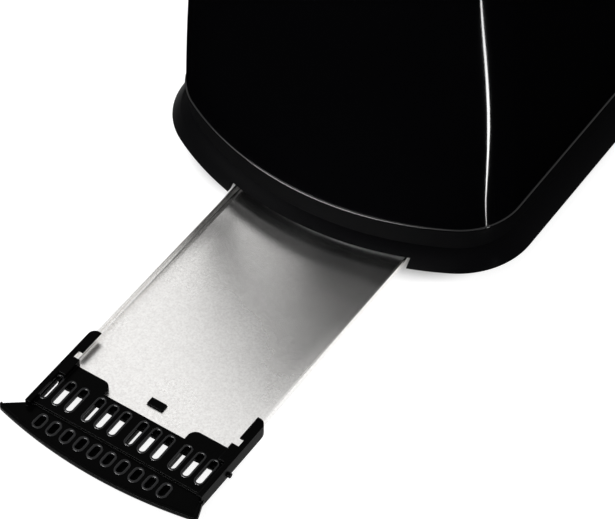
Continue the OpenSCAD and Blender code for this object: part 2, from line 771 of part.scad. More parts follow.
module carriage_bracket() {
    y = bracket_y;
    z = bush_z0;
    color("#a9abad") place() {
        difference() {
            union() {
                block([-bracket_x, y, bracket_z0], [bracket_x, y + sheet, z + bush_h + sheet]);
                block([-house_x, y, z - sheet], [keeper_x1, y + sheet, bracket_top]);
                both() block([house_x - sheet, y, z - sheet], [house_x, house_y1, bracket_top]);
                block([-house_x, house_y1 - sheet, z - sheet], [house_x, house_y1, bracket_top]);
                block([-house_x, y, z - sheet], [house_x, house_y1, z]);
                block([-house_x, y, z + bush_h], [house_x, house_y1, z + bush_h + sheet]);
                block([keeper_x0, y, bracket_top - sheet], [keeper_x1, rod_y + 12, bracket_top]);
                block([-lever_t / 2, house_y1 - sheet / 2, lever_z - lever_h / 2],
                      [lever_t / 2, lever_y1, lever_z + lever_h / 2]);
            }
            translate([0, rod_y, z - 2]) cylinder(h = bush_h + 4, r = rod_d / 2 + 0.5);
        }
    }
}

module guide_bush() {
    color("#e8e6df") place() translate([0, rod_y, bush_z0]) difference() {
        cylinder(h = bush_h, r = bush_r);
        translate([0, 0, -1]) cylinder(h = bush_h + 2, r = rod_d / 2 + run_gap);
    }
}

// Rack under one slice: an upright strip with saddle tabs
module bread_rack(x) {
    y0 = chamber_y0 + 5;
    n = 7;
    color("#bfc1c3") place() {
        block([x - sheet / 2, y0, rack_z - rack_h], [x + sheet / 2, bracket_y, rack_z]);
        for (i = [0 : n - 1]) {
            y = y0 + 6 + i * (slot_l - 20) / (n - 1);
            block([x - slot_w / 2 + 4, y, rack_z - sheet], [x + slot_w / 2 - 4, y + 5, rack_z]);
        }
    }
}

module bread_rack_left() {
    bread_rack(-slot_x);
}

module bread_rack_right() {
    bread_rack(slot_x);
}

module keeper_plate() {
    color("#7f8183") place()
        block([keeper_x0, rod_y - 3, keeper_z], [keeper_x1, rod_y + 12, keeper_z + keeper_t]);
}

module lever_knob() {
    w = 40;
    h = 13;
    color("#0b0b0c") place() difference() {
        intersection() {
            along_y(knob_y, knob_y + knob_l) translate([0, lever_z]) rounded(w, h, h / 2 - 0.5);
            translate([0, knob_y + knob_l - 60, lever_z - h]) cylinder(h = 2 * h, r = 60, $fn = 200);
        }
        block([-lever_t / 2 - run_gap, knob_y - 1, lever_z - lever_h / 2 - run_gap],
              [lever_t / 2 + run_gap, lever_y1 + 0.2, lever_z + lever_h / 2 + run_gap]);
    }
}

// Electromagnet: core with one pole, its coil, and the bracket that carries them
core_z = magnet_top - 30;
core_r = 4;
magnet_y = rod_y + 4;

module latch_magnet() {
    color("#6f7173") place() translate([magnet_x, magnet_y, core_z]) {
        block([-8, -7, 0], [8, 7, 3]);
        cylinder(h = magnet_top - core_z, r = core_r);
    }
}

module magnet_coil() {
    color("#b06a3a") place() translate([magnet_x, magnet_y, core_z + 3]) difference() {
        cylinder(h = 24, r = 8);
        translate([0, 0, -1]) cylinder(h = 26, r = core_r + run_gap);
    }
}

module magnet_bracket() {
    color("#a6a8aa") place() translate([magnet_x, 0, 0]) {
        block([-9, magnet_y + 8, plate_z], [9, magnet_y + 20, plate_z + sheet]);
        block([-9, magnet_y + 8, plate_z], [9, magnet_y + 9, core_z]);
        block([-9, magnet_y - 8, core_z - sheet], [9, magnet_y + 9, core_z]);
    }
}

// Controls: circuit board with switches, the dial's potentiometer, panel, dial and buttons
pcb_z0 = plate_z + ring_t + 2;
pcb_z1 = lever_z - travel - lever_h / 2 - 4;
pcb_x = 49;
pcb_y = board_y + pcb_t;
control_y = pcb_y + 8;
shaft_r = 3;
dial_y = end_wall(panel_z - dial_d / 2) + panel_t + fit_gap;
panel_r = 6;
panel_back = wall + 1.3;              // thickness of the panel, from the shell's outer face
button_flange = button_d / 2 + 1.2;

module circuit_board() {
    color("#2f5d3a") place() block([-pcb_x, board_y, pcb_z0], [pcb_x, pcb_y, pcb_z1]);
}

module button_switches() {
    color("#2b2b2c") place() for (x = button_x)
        block([x - 3, pcb_y, panel_z - 3], [x + 3, pcb_y + switch_l, panel_z + 3]);
}

module browning_control() {
    color("#3b4c5c") place() difference() {
        union() {
            block([-8, pcb_y, panel_z - 8], [8, control_y, panel_z + 8]);
            rod_y(4.5, 0, panel_z, control_y - 1, control_y + 6);
        }
        rod_y(shaft_r + run_gap, 0, panel_z, control_y - 4, control_y + 7);
    }
}

module dial_shaft() {
    color("#d4d6d8") place() rod_y(shaft_r, 0, panel_z, control_y - 3.9, dial_y + 8);
}

module browning_dial() {
    r = dial_d / 2;
    color("#111112") place() translate([0, dial_y, panel_z]) rotate([-90, 0, 0]) difference() {
        union() {
            rotate_extrude($fn = 96) polygon([[0, 0], [r, 0], [r, 3], [r - 1.5, 4.5], [r - 2.2, dial_h - 1.2],
                                              [r - 3.4, dial_h - 0.4], [0, dial_h - 0.4]]);
            block([-1.2, -r + 3.6, dial_h - 1], [1.2, -4, dial_h]);
        }
        translate([0, 0, -1]) cylinder(h = 9.2, r = shaft_r + run_gap);
    }
}

// Bowed strip of wall at the lever end, from o outside the shell's outer face to i inside it
module end_skin(o, i) {
    z0 = panel_z - panel_h / 2 - 2;
    n = 6;
    step = (panel_h + 8) / n;
    translate([0, end_y, 0]) rotate([0, 0, 90 - end_a]) rotate_extrude(angle = 2 * end_a, $fn = 240)
        polygon(concat([for (k = [0 : n]) let (z = z0 + k * step) [end_r - wall_in(z) + o, z]],
                       [for (k = [n : -1 : 0]) let (z = z0 + k * step) [end_r - wall_in(z) - i, z]]));
}

module control_panel() {
    top = panel_z + panel_h / 2;
    color("#1d1d1e") place() difference() {
        union() {
            intersection() {
                end_skin(panel_t, panel_back);
                along_y(corner_y, body_l / 2 + 5) translate([0, panel_z]) rounded(panel_w, panel_h, panel_r);
            }
            intersection() {
                end_skin(-wall - seat_gap, panel_back);
                block([-panel_w / 2 - 4, corner_y, top - panel_h], [panel_w / 2 + 4, body_l / 2, top + 3]);
            }
        }
        rod_y(shaft_r + fit_gap, 0, panel_z, corner_y, body_l / 2 + 6);
        for (x = button_x) rod_y(button_d / 2 + fit_gap, x, panel_z, corner_y, body_l / 2 + 6);
    }
}

// Y of the bowed end at x, inset by i from the shell's outer face at the panel's height
function bow_y(x, i) = end_y + sqrt(pow(end_r - wall_in(panel_z) - i, 2) - x * x);

// Push button: cap, retaining flange and stem
module button(x) {
    flange_y = bow_y(abs(x) + button_flange, panel_back) - fit_gap - 0.5;
    place() {
        rod_y(button_d / 2, x, panel_z, flange_y, bow_y(abs(x), -panel_t) + button_out);
        rod_y(button_flange, x, panel_z, flange_y - 1.5, flange_y);
        rod_y(2, x, panel_z, pcb_y + switch_l + button_travel + 0.3, flange_y);
    }
}

module cancel_button() {
    color("#161617") button(button_x[0]);
}

module reheat_button() {
    color("#161617") button(button_x[1]);
}

module defrost_button() {
    color("#161617") button(button_x[2]);
}

module bun_button() {
    color("#161617") button(button_x[3]);
}

// Rubber feet, each pulled through the floor by a barbed stem
module rubber_feet() {
    color("#0e0e0f") place() at_four(foot_xy) {
        rotate_extrude() polygon([[0, 0], [foot_d / 2 - 1.5, 0], [foot_d / 2 - 0.5, 1],
                                  [foot_d / 2, mouth_z],
                                  [stem_r, mouth_z], [stem_r, plate_z + ring_t + 0.1],
                                  [stem_r + 0.8, plate_z + ring_t + 0.1], [stem_r - 0.6, plate_z + ring_t + 2.2],
                                  [0, plate_z + ring_t + 2.2]]);
    }
}

// Grommet for the mains cord, snapped into the skirt's band
module cord_bush() {
    color("#101011") place() translate([cord_x, cord_y, cord_z]) rotate([0, 90, 0]) difference() {
        union() {
            translate([0, 0, -1.6]) cylinder(h = 1.6, r = bush_r2);
            translate([0, 0, -0.1]) cylinder(h = wall + 3.1, r = bush_r1);
            translate([0, 0, wall + 1.4]) cylinder(h = 1.6, r1 = bush_r1 + 0.8, r2 = bush_r1);
        }
        translate([0, 0, -3]) cylinder(h = 12, r = cord_d / 2);
    }
}

// Screw terminals, on the floor beside the cord's inlet
block_x0 = -body_w / 2 + ring_in + 2.5;
block_x1 = block_x0 + block_w;

module terminal_block() {
    color("#e3e0d6") place() difference() {
        block([block_x0, cord_y - block_l / 2, plate_z], [block_x1, cord_y + block_l / 2, plate_z + 12]);
        for (y = [-5.2, 0, 5.2]) {
            translate([block_x0 + 6, cord_y + y, plate_z + 5]) cylinder(h = 8, r = 1.6);
            translate([block_x0 - 1, cord_y + y, plate_z + 6]) rotate([0, 90, 0]) cylinder(h = 14, r = 1.4);
        }
    }
}

// Insulated wire through the given points
module lead(points) {
    for (i = [0 : len(points) - 2]) {
        d = points[i + 1] - points[i];
        translate(points[i]) rotate([0, acos(d[2] / norm(d)), atan2(d[1], d[0])])
            cylinder(h = norm(d), r = 1.1, $fn = 24);
        if (i > 0) translate(points[i]) sphere(1.25, $fn = 24);
    }
}

module power_leads() {
    z = plate_z + 6;
    x = block_x1 + 0.1;
    color("#d8d8d4") place() {
        lead([[x, cord_y + 5.2, z], [6 - pcb_x, cord_y + 5.2, z], [6 - pcb_x, board_y - 0.1, z]]);
        lead([[x, cord_y, z], [x + 4, cord_y, z], [x + 4, chamber_y1 + sheet + 0.1, z]]);
        lead([[magnet_x, board_y - 0.1, panel_z + 6], [magnet_x, magnet_y + 8.1, panel_z + 6]]);
    }
}

// Screw with a round head, pointing up from z = 0, its head below
module screw_up(l, r, head_r) {
    translate([0, 0, -1.8]) cylinder(h = 1.8, r1 = head_r - 0.8, r2 = head_r);
    cylinder(h = l, r = r);
}

module base_screws() {
    color("#8f9193") place() at_four(post_xy) translate([0, 0, mouth_z]) screw_up(20, pilot_r - run_gap, 3);
}

module chassis_screws() {
    color("#9b9da0") place() chassis_screw_places() translate([0, 0, 2 * sheet + 0.01]) mirror([0, 0, 1])
        screw_up(2 * sheet - 0.05, 1.25, 2.6);
}

base_skirt();
outer_shell();
slot_frame();
base_plate();
tray_runner_left();
tray_runner_right();
crumb_tray();
tray_handle();
front_end_plate();
rear_end_plate();
side_shield_left();
side_shield_right();
crumb_chute_left();
crumb_chute_right();
heater_board_left();
heater_board_centre();
heater_board_right();
heating_wire_left();
heating_wire_centre();
heating_wire_right();
guard_wires_left_outer();
guard_wires_left_inner();
guard_wires_right_inner();
guard_wires_right_outer();
guide_rod();
lift_spring();
carriage_bracket();
guide_bush();
bread_rack_left();
bread_rack_right();
keeper_plate();
lever_knob();
latch_magnet();
magnet_coil();
magnet_bracket();
circuit_board();
button_switches();
browning_control();
dial_shaft();
browning_dial();
control_panel();
cancel_button();
reheat_button();
defrost_button();
bun_button();
rubber_feet();
cord_bush();
terminal_block();
power_leads();
base_screws();
chassis_screws();
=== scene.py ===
"""Two-slot pop up toaster with its crumb tray drawn out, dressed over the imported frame."""

import math

import bpy
from mathutils import Matrix, Vector


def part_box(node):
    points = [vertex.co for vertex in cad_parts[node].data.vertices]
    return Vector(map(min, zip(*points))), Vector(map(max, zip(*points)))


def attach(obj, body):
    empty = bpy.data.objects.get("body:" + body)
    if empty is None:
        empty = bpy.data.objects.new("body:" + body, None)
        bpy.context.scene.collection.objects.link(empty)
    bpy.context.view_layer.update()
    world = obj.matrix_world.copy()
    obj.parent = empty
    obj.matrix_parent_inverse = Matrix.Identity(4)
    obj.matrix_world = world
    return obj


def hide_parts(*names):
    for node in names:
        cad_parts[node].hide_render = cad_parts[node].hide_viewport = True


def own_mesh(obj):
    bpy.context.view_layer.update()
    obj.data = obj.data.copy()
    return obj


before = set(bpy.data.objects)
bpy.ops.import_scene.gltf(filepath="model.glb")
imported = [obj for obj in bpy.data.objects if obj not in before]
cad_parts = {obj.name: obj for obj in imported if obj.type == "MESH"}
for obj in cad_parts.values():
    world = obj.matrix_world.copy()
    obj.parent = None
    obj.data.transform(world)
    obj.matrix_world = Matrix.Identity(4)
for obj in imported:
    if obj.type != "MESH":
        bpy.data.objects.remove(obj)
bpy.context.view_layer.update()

# ---------------------------------------------------------------------------
# Bench, light and camera
# A plain white bench and backdrop under big soft lamps. A black cloth round the
# toaster keeps the bench out of its gloss, and a bent strip of light beside its
# front corner draws one tall thin line there. Only reflections see them.
# ---------------------------------------------------------------------------
MM = 0.001
scene = bpy.context.scene
scene.view_settings.view_transform = "Standard"


def linear(hex_colour):
    """Linear red, green, blue and alpha of an sRGB hex colour."""
    parts = [int(hex_colour[i:i + 2], 16) / 255 for i in (1, 3, 5)]
    return [c / 12.92 if c <= 0.04045 else ((c + 0.055) / 1.055) ** 2.4 for c in parts] + [1.0]


def add_node(tree, kind, inputs=None, **settings):
    """Adds a node, sets its properties, and sets or links its inputs."""
    made = tree.nodes.new(kind)
    for name, value in settings.items():
        setattr(made, name, value)
    for name, value in (inputs or {}).items():
        if isinstance(value, bpy.types.NodeSocket):
            tree.links.new(value, made.inputs[name])
        else:
            made.inputs[name].default_value = value
    return made


def new_material(name):
    """An empty node material and its tree."""
    material = bpy.data.materials.new(name)
    material.use_nodes = True
    material.node_tree.nodes.clear()
    return material, material.node_tree


def mesh_object(name, verts, faces):
    """A mesh object from points in metres."""
    mesh = bpy.data.meshes.new(name)
    mesh.from_pydata(verts, [], faces)
    mesh.update()
    made = bpy.data.objects.new(name, mesh)
    scene.collection.objects.link(made)
    return made


def seen_directly(tree):
    """1 for the eye's own rays and for those that gloss or glass sends on, else 0."""
    rays = add_node(tree, "ShaderNodeLightPath")
    mirrored = add_node(tree, "ShaderNodeMath", {0: rays.outputs["Is Camera Ray"],
                                                 1: rays.outputs["Is Glossy Ray"]}, operation="MAXIMUM")
    return add_node(tree, "ShaderNodeMath", {0: mirrored.outputs[0],
                                             1: rays.outputs["Is Transmission Ray"]}, operation="MAXIMUM")


bench_glow, bench_paint, backdrop_fill = 0.86, "#a8a8a8", 0.55
shaded_to, glow_from = 0.55, 0.95

body_width, body_length = 191, 290
shell_lo, shell_hi = [Vector(corner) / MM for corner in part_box("outer_shell")]
middle_y = (shell_lo.y + shell_hi.y) / 2

# Matt paint that reads as plain white. Under the toaster it goes grey in a painted shade: its glow is left
# out there, and sets in along a rounded rectangle a little smaller than the body.
paint, tree = new_material("matt_white_paint")
coords = add_node(tree, "ShaderNodeTexCoord")
centred = add_node(tree, "ShaderNodeVectorMath", {0: coords.outputs["Object"], 1: (0, middle_y * MM, 0)},
                   operation="SUBTRACT")
scaled = add_node(tree, "ShaderNodeVectorMath", {0: centred.outputs[0],
                                                 1: (2 / (body_width * MM), 2 / (body_length * MM), 0)},
                  operation="MULTIPLY")
rounded = add_node(tree, "ShaderNodeVectorMath", {0: scaled.outputs[0], 1: scaled.outputs[0]},
                   operation="MULTIPLY")
beside = add_node(tree, "ShaderNodeVectorMath", {0: rounded.outputs[0], 1: rounded.outputs[0]},
                  operation="DOT_PRODUCT")
# The glow is zero inside the rounded rectangle, a painted shade under the body.
glow_outside_painted_shade = add_node(tree, "ShaderNodeMapRange", {"Value": beside.outputs["Value"], "From Min": shaded_to,
                                                   "From Max": glow_from, "To Max": bench_glow},
                      interpolation_type="SMOOTHSTEP")
lit = add_node(tree, "ShaderNodeBsdfDiffuse", {"Color": linear(bench_paint)})
white = add_node(tree, "ShaderNodeEmission", {"Color": linear("#ffffff"), "Strength": glow_outside_painted_shade.outputs[0]})
shown = add_node(tree, "ShaderNodeAddShader", {0: lit.outputs[0], 1: white.outputs[0]})
bounce = add_node(tree, "ShaderNodeBsdfDiffuse", {"Color": linear("#e6e6e6")})
either = add_node(tree, "ShaderNodeMixShader", {0: seen_directly(tree).outputs[0], 1: bounce.outputs[0],
                                                2: shown.outputs[0]})
add_node(tree, "ShaderNodeOutputMaterial", {"Surface": either.outputs[0]})
bench_half = 3.0
bench = mesh_object("bench", [(-bench_half, -bench_half, 0), (bench_half, -bench_half, 0),
                              (bench_half, bench_half, 0), (-bench_half, bench_half, 0)], [(0, 1, 2, 3)])
bench.data.materials.append(paint)

studio = bpy.data.worlds.new("studio")
studio.use_nodes = True
tree = studio.node_tree
tree.nodes.clear()
backdrop = add_node(tree, "ShaderNodeBackground", {"Color": linear("#ffffff"), "Strength": 1.0})
fill = add_node(tree, "ShaderNodeBackground", {"Color": linear("#ffffff"), "Strength": backdrop_fill})
either = add_node(tree, "ShaderNodeMixShader", {0: seen_directly(tree).outputs[0], 1: fill.outputs[0],
                                                2: backdrop.outputs[0]})
add_node(tree, "ShaderNodeOutputWorld", {"Surface": either.outputs[0]})
scene.world = studio


def soft_lamp(name, place, size, power):
    """A square area lamp turned to the toaster; metres and watts."""
    lamp = bpy.data.lights.new(name, "AREA")
    lamp.size = size
    lamp.energy = power
    made = bpy.data.objects.new(name, lamp)
    made.location = place
    made.rotation_euler = (Vector((0, -0.1, 0.05)) - Vector(place)).to_track_quat("-Z", "Y").to_euler()
    scene.collection.objects.link(made)


soft_lamp("lamp_left", (-1.2, -0.9, 1.5), 0.9, 14)
soft_lamp("lamp_front", (0.3, -1.7, 1.4), 1.1, 7.5)

camera_azimuth, camera_elevation = math.radians(34.1), math.radians(48.4)
camera_distance = 1180
aim = Vector((18.2, middle_y - 156.3, 9.8))
back = Vector((math.sin(camera_azimuth) * math.cos(camera_elevation),
               -math.cos(camera_azimuth) * math.cos(camera_elevation),
               math.sin(camera_elevation)))
camera = bpy.data.objects.new("camera", bpy.data.cameras.new("camera"))
camera.data.lens = 153.5
camera.data.sensor_width = 36
camera.location = (aim + back * camera_distance) * MM
camera.rotation_euler = (-back).to_track_quat("-Z", "Y").to_euler()
scene.collection.objects.link(camera)
scene.camera = camera


def gloss_only(made):
    """Keeps a card or cloth of the studio out of everything but reflections."""
    made.visible_camera = made.visible_diffuse = made.visible_shadow = False
    made.visible_transmission = made.visible_volume_scatter = False


cloth_z, cloth_half, cloth_solid, cloth_gone = 12, 1500, 420, 1100
# Velvet black from above and nothing at all from below, thinning out away from the toaster.
black_cloth, tree = new_material("black_cloth_one_sided")
coords = add_node(tree, "ShaderNodeTexCoord")
reach = add_node(tree, "ShaderNodeVectorMath", {0: coords.outputs["Object"]}, operation="LENGTH")
thin = add_node(tree, "ShaderNodeMapRange", {"Value": reach.outputs["Value"], "From Min": cloth_solid * MM,
                                             "From Max": cloth_gone * MM}, interpolation_type="SMOOTHSTEP")
under = add_node(tree, "ShaderNodeNewGeometry")
hole = add_node(tree, "ShaderNodeMath", {0: thin.outputs[0], 1: under.outputs["Backfacing"]},
                operation="MAXIMUM")
black = add_node(tree, "ShaderNodeEmission", {"Strength": 0.0})
gap = add_node(tree, "ShaderNodeBsdfTransparent")
either = add_node(tree, "ShaderNodeMixShader", {0: hole.outputs[0], 1: black.outputs[0], 2: gap.outputs[0]})
add_node(tree, "ShaderNodeOutputMaterial", {"Surface": either.outputs[0]})
cloth = mesh_object("black_cloth", [(x * cloth_half * MM, y * cloth_half * MM, 0)
                                    for x, y in ((-1, -1), (1, -1), (1, 1), (-1, 1))], [(0, 1, 2, 3)])
cloth.location = (0, middle_y * MM, cloth_z * MM)
cloth.data.materials.append(black_cloth)
gloss_only(cloth)

# The strip lies bent on the cloth, in points of x, y and width, and narrows to nothing by the toaster.
strip_z, strip_glow = 14, 34
strip_path = [(92, -33, 0.1), (104, -37, 0.4), (116, -41, 1.0), (135, -45, 2.6), (155, -49, 5), (173, -54, 8),
              (190, -61, 9.5), (206, -71, 10.5), (222, -84, 11), (238, -101, 11.5), (253, -122, 12),
              (270, -150, 12), (290, -190, 10)]
corners, count = [], len(strip_path)
for i, (x, y, width) in enumerate(strip_path):
    before, after = strip_path[max(i - 1, 0)], strip_path[min(i + 1, count - 1)]
    along = Vector((after[0] - before[0], after[1] - before[1])).normalized()
    for side in (-1, 1):
        corners.append(((x - along.y * side * width / 2) * MM, (y + along.x * side * width / 2) * MM,
                        strip_z * MM))
strip = mesh_object("strip_light", corners,
                    [(2 * i, 2 * i + 1, 2 * i + 3, 2 * i + 2) for i in range(count - 1)])
glow, tree = new_material("strip_light_glow")
light = add_node(tree, "ShaderNodeEmission", {"Color": linear("#ffffff"), "Strength": strip_glow})
add_node(tree, "ShaderNodeOutputMaterial", {"Surface": light.outputs[0]})
strip.data.materials.append(glow)
gloss_only(strip)

# A long card in front of the toaster, tapered to its ends, edges the bead of the shell with light.
# Its posts stand at these azimuths, and it reaches between two elevations at each, all in degrees.
card_reach, card_glow = 1.3, 45
card_posts = ((-41, 9, 12), (-31, 5, 18), (-18, 3, 20), (-5, 3, 20), (9, 6, 15), (22, 9, 11))
corners = []
for azimuth, low, high in card_posts:
    for elevation in (low, high):
        a, e = math.radians(azimuth), math.radians(elevation)
        corners.append((card_reach * math.cos(e) * math.sin(a), -card_reach * math.cos(e) * math.cos(a),
                        card_reach * math.sin(e)))
front_card = mesh_object("front_card", corners, [(2 * i, 2 * i + 1, 2 * i + 3, 2 * i + 2)
                                                 for i in range(len(card_posts) - 1)])
glow, tree = new_material("front_card_glow")
light = add_node(tree, "ShaderNodeEmission", {"Color": linear("#ffffff"), "Strength": card_glow})
add_node(tree, "ShaderNodeOutputMaterial", {"Surface": light.outputs[0]})
front_card.data.materials.append(glow)
gloss_only(front_card)

# ---------------------------------------------------------------------------
# Base skirt
# One moulding in satin black ABS: a flared foot, an upright band and a rim
# that locates the shell. A low mouth in the tray end lets the tray out.
# ---------------------------------------------------------------------------
end_radius, corner_radius = 154, 40
wall = 2.5
edge_z, edge_radius = 7, 0.6
flare_top, flare_depth, flare_radius = 15, 8.6, 24
band_z, rim_z, plate_z, mouth_z = 27, 34, 12.2, 11.2
shell_foot = 7.2
rim_inset, rim_wall = shell_foot + wall + 0.6, 1.8
ring_inset, ring_wall = 23, 2
tray_lo, tray_hi = [Vector(corner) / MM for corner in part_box("crumb_tray")]
tray_x = (tray_lo.x + tray_hi.x) / 2
mouth_half = (tray_hi.x - tray_lo.x) / 2 + 1.9
corner_x = body_width / 2 - corner_radius
end_y = body_length / 2 - end_radius
end_angle = math.asin(corner_x / (end_radius - corner_radius))
corner_y = end_y + math.sqrt((end_radius - corner_radius) ** 2 - corner_x ** 2)
front_y, rear_y = middle_y - body_length / 2, middle_y + body_length / 2


def arc(cx, cy, radius, start, stop, count):
    """Points of an arc, both ends included; angles in radians."""
    steps = [start + (stop - start) * i / count for i in range(count + 1)]
    return [(cx + radius * math.cos(a), cy + radius * math.sin(a)) for a in steps]


def plan_ring(inset, corner_count=28, end_count=56, side_count=24):
    """The body's outline seen from above, drawn in by inset: four corners and two bowed ends."""
    turn = math.pi / 2 - end_angle
    half = arc(corner_x, corner_y, corner_radius - inset, 0, turn, corner_count)
    half += arc(0, end_y, end_radius - inset, turn, math.pi - turn, end_count)[1:-1]
    half += arc(-corner_x, corner_y, corner_radius - inset, math.pi - turn, math.pi, corner_count)
    half += [(inset - body_width / 2, corner_y - 2 * corner_y * i / side_count) for i in range(1, side_count)]
    return half + [(-x, -y) for x, y in half]


def lofted(name, rings, closed):
    """Joins rings of points, in millimetres: all round in a loop, or with a flat cap on each end."""
    count = len(rings[0])
    verts = [tuple(c * MM for c in point) for ring in rings for point in ring]
    faces = []
    for i in range(len(rings) if closed else len(rings) - 1):
        a, b = i * count, (i + 1) % len(rings) * count
        faces += [(a + k, a + (k + 1) % count, b + (k + 1) % count, b + k) for k in range(count)]
    if not closed:
        faces.append(tuple(range(count - 1, -1, -1)))
        faces.append(tuple(range(len(verts) - count, len(verts))))
    return mesh_object(name, verts, faces)


def swept(name, profile, closed):
    """Sweeps (inset, height) points round the plan of the body."""
    rings = [[(x, y + middle_y, z) for x, y in plan_ring(inset)] for inset, z in profile]
    return lofted(name, rings, closed)


def prism(name, outline, start, stop, axis):
    """Extrudes an outline in millimetres from start to stop along an axis."""
    place = {"x": lambda a, b, h: (h, a, b), "y": lambda a, b, h: (b, h, a),
             "z": lambda a, b, h: (a, b, h)}[axis]
    return lofted(name, [[place(a, b, h) for a, b in outline] for h in (start, stop)], False)


def block(name, low, high):
    """A box between two corners, used to cut with."""
    return prism(name, [(low[0], low[1]), (high[0], low[1]), (high[0], high[1]), (low[0], high[1])],
                 low[2], high[2], "z")


def combine(piece, others, how):
    """Cuts the other meshes out of a piece, or adds them to it, and removes them."""
    for other in others:
        step = piece.modifiers.new("combine", "BOOLEAN")
        step.object, step.operation, step.solver = other, how, "EXACT"
        graph = bpy.context.evaluated_depsgraph_get()
        mesh = bpy.data.meshes.new_from_object(piece.evaluated_get(graph))
        piece.modifiers.clear()
        piece.data = mesh
        bpy.data.objects.remove(other)


def soften(piece, width, angle=35, segments=2):
    """Rounds the edges sharper than angle by width millimetres, and shades the rest smooth."""
    weld = piece.modifiers.new("weld", "WELD")
    weld.merge_threshold = 0.004 * MM
    bevel = piece.modifiers.new("edges", "BEVEL")
    bevel.width = width * MM
    bevel.segments = segments
    bevel.limit_method = "ANGLE"
    bevel.angle_limit = math.radians(angle)
    bevel.harden_normals = True
    piece.data.polygons.foreach_set("use_smooth", [True] * len(piece.data.polygons))
    piece.data.set_sharp_from_angle(angle=math.radians(angle))


def moulded(name, colour, roughness, grain_mm, grain_depth_mm, specular=0.5, edge_mm=0.0, drift=0.04):
    """Moulded plastic: one colour, the tool's fine grain, soft edges, and a slight drift in its gloss."""
    material, tree = new_material(name)
    coords = add_node(tree, "ShaderNodeTexCoord")
    cloud = add_node(tree, "ShaderNodeTexNoise", {"Vector": coords.outputs["Object"], "Scale": 1 / (30 * MM),
                                                  "Detail": 2.0})
    gloss = add_node(tree, "ShaderNodeMapRange", {"Value": cloud.outputs["Fac"], "To Min": roughness - drift,
                                                  "To Max": roughness + drift})
    pigment = add_node(tree, "ShaderNodeMix", {0: cloud.outputs["Fac"], 6: linear(colour),
                                               7: [c * 1.2 for c in linear(colour)[:3]] + [1.0]},
                       data_type="RGBA")
    grain = add_node(tree, "ShaderNodeTexNoise", {"Vector": coords.outputs["Object"],
                                                  "Scale": 1 / (grain_mm * MM), "Detail": 3.0})
    bump = add_node(tree, "ShaderNodeBump", {"Height": grain.outputs["Fac"], "Strength": 1.0,
                                             "Distance": grain_depth_mm * MM})
    if edge_mm:
        edge = add_node(tree, "ShaderNodeBevel", {"Radius": edge_mm * MM}, samples=6)
        tree.links.new(edge.outputs[0], bump.inputs["Normal"])
    plastic = add_node(tree, "ShaderNodeBsdfPrincipled", {
        "Base Color": pigment.outputs[2], "Roughness": gloss.outputs[0], "IOR": 1.5,
        "Specular IOR Level": specular, "Normal": bump.outputs[0]})
    add_node(tree, "ShaderNodeOutputMaterial", {"Surface": plastic.outputs[0]})
    return material


def dress(piece, material, body, slot, *nodes):
    """Gives a piece its material, lets it ride on a body, and hides the nodes it stands for; slot is not
    used.
    """
    piece.data.materials.clear()
    piece.data.materials.append(material)
    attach(piece, body)
    if nodes:
        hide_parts(*nodes)


def flare(count):
    """The bulging face of the flared foot, from just above its edge up to the band."""
    low, high = Vector((0, edge_z + edge_radius)), Vector((flare_depth, flare_top))
    chord = (high - low).normalized()
    half = (high - low).length / 2
    centre = (low + high) / 2 + Vector((chord.y, -chord.x)) * math.sqrt(flare_radius ** 2 - half ** 2)
    start = math.atan2(low.y - centre.y, low.x - centre.x)
    stop = math.atan2(high.y - centre.y, high.x - centre.x)
    return arc(centre.x, centre.y, flare_radius, start, stop, count)[1:]


foot_edge = arc(edge_radius, edge_z + edge_radius, edge_radius, 1.5 * math.pi, math.pi, 4)
skirt = swept("skirt", foot_edge + flare(14) + [
    (flare_depth, band_z - 0.01), (rim_inset, band_z), (rim_inset, rim_z), (rim_inset + rim_wall, rim_z),
    (rim_inset + rim_wall, band_z - 5), (flare_depth + wall, band_z - 6),
    (flare_depth + wall, plate_z + ring_wall), (ring_inset, plate_z + ring_wall), (ring_inset, plate_z),
    (8.8, plate_z), (wall * 1.1, edge_z)], True)
cord_lo, cord_hi = [Vector(corner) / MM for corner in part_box("cord_bush")]
cord_y, cord_z = (cord_lo.y + cord_hi.y) / 2, (cord_lo.z + cord_hi.z) / 2
mouth_depth, notch_half, cord_hole_radius, cord_hole_depth = 44.4, 66, 4.7, 16
combine(skirt, [
    block("mouth", (tray_x - mouth_half, front_y - 5, 0),
          (tray_x + mouth_half, front_y + mouth_depth, mouth_z)),
    block("panel_notch", (-notch_half, middle_y + corner_y, band_z + 0.02), (notch_half, rear_y, rim_z + 2)),
    prism("cord_hole", arc(cord_y, cord_z, cord_hole_radius, 0, 2 * math.pi, 40)[:-1], -body_width / 2,
          cord_hole_depth - body_width / 2, "x"),
], "DIFFERENCE")
soften(skirt, 0.25)
# The skirt's black comes in a shaded and a lit copy. The flare, which faces up, is painted darker and given
# almost no reflection, a painted shade;
# the band's fine spark-erosion grain, drawn at half a millimetre, spreads the light into a soft grey sheen
# over its lighter black.
flare_painted_shade_abs = moulded("abs_flare_painted_shade", "#040405", 0.35, 0.8, 0.004, specular=0.015)
band_lit_copy_abs = moulded("abs_satin_band_lit_copy", "#0b0b0c", 0.45, 0.5, 0.012, specular=0.04)
dress(skirt, flare_painted_shade_abs, "toaster", "skirt_satin", "base_skirt")
skirt.data.materials.append(band_lit_copy_abs)
# Faces of the flare take the painted shade copy, those above it the lit copy.
for face in skirt.data.polygons:
    face.material_index = int(face.center.z > (flare_top + 0.05) * MM)

# ---------------------------------------------------------------------------
# Outer shell
# The cover, moulded in high gloss black ABS. Its walls lean in and bow like a
# barrel's, and end in a small round bead that overhangs the band.
# ---------------------------------------------------------------------------
body_height, top_radius = 188, 18
shell_z, lip_radius, bead = 27.4, 0.7, 0.6
lean, barrel_radius = math.tan(math.radians(2)), 1445
panel_z, panel_width, panel_height, panel_radius = 46, 120, 34, 6


def wall_inset(z):
    """Inset of the shell's outer face from the plan at height z."""
    return shell_foot + lean * (z - shell_z) + (z - shell_z) ** 2 / (2 * barrel_radius)


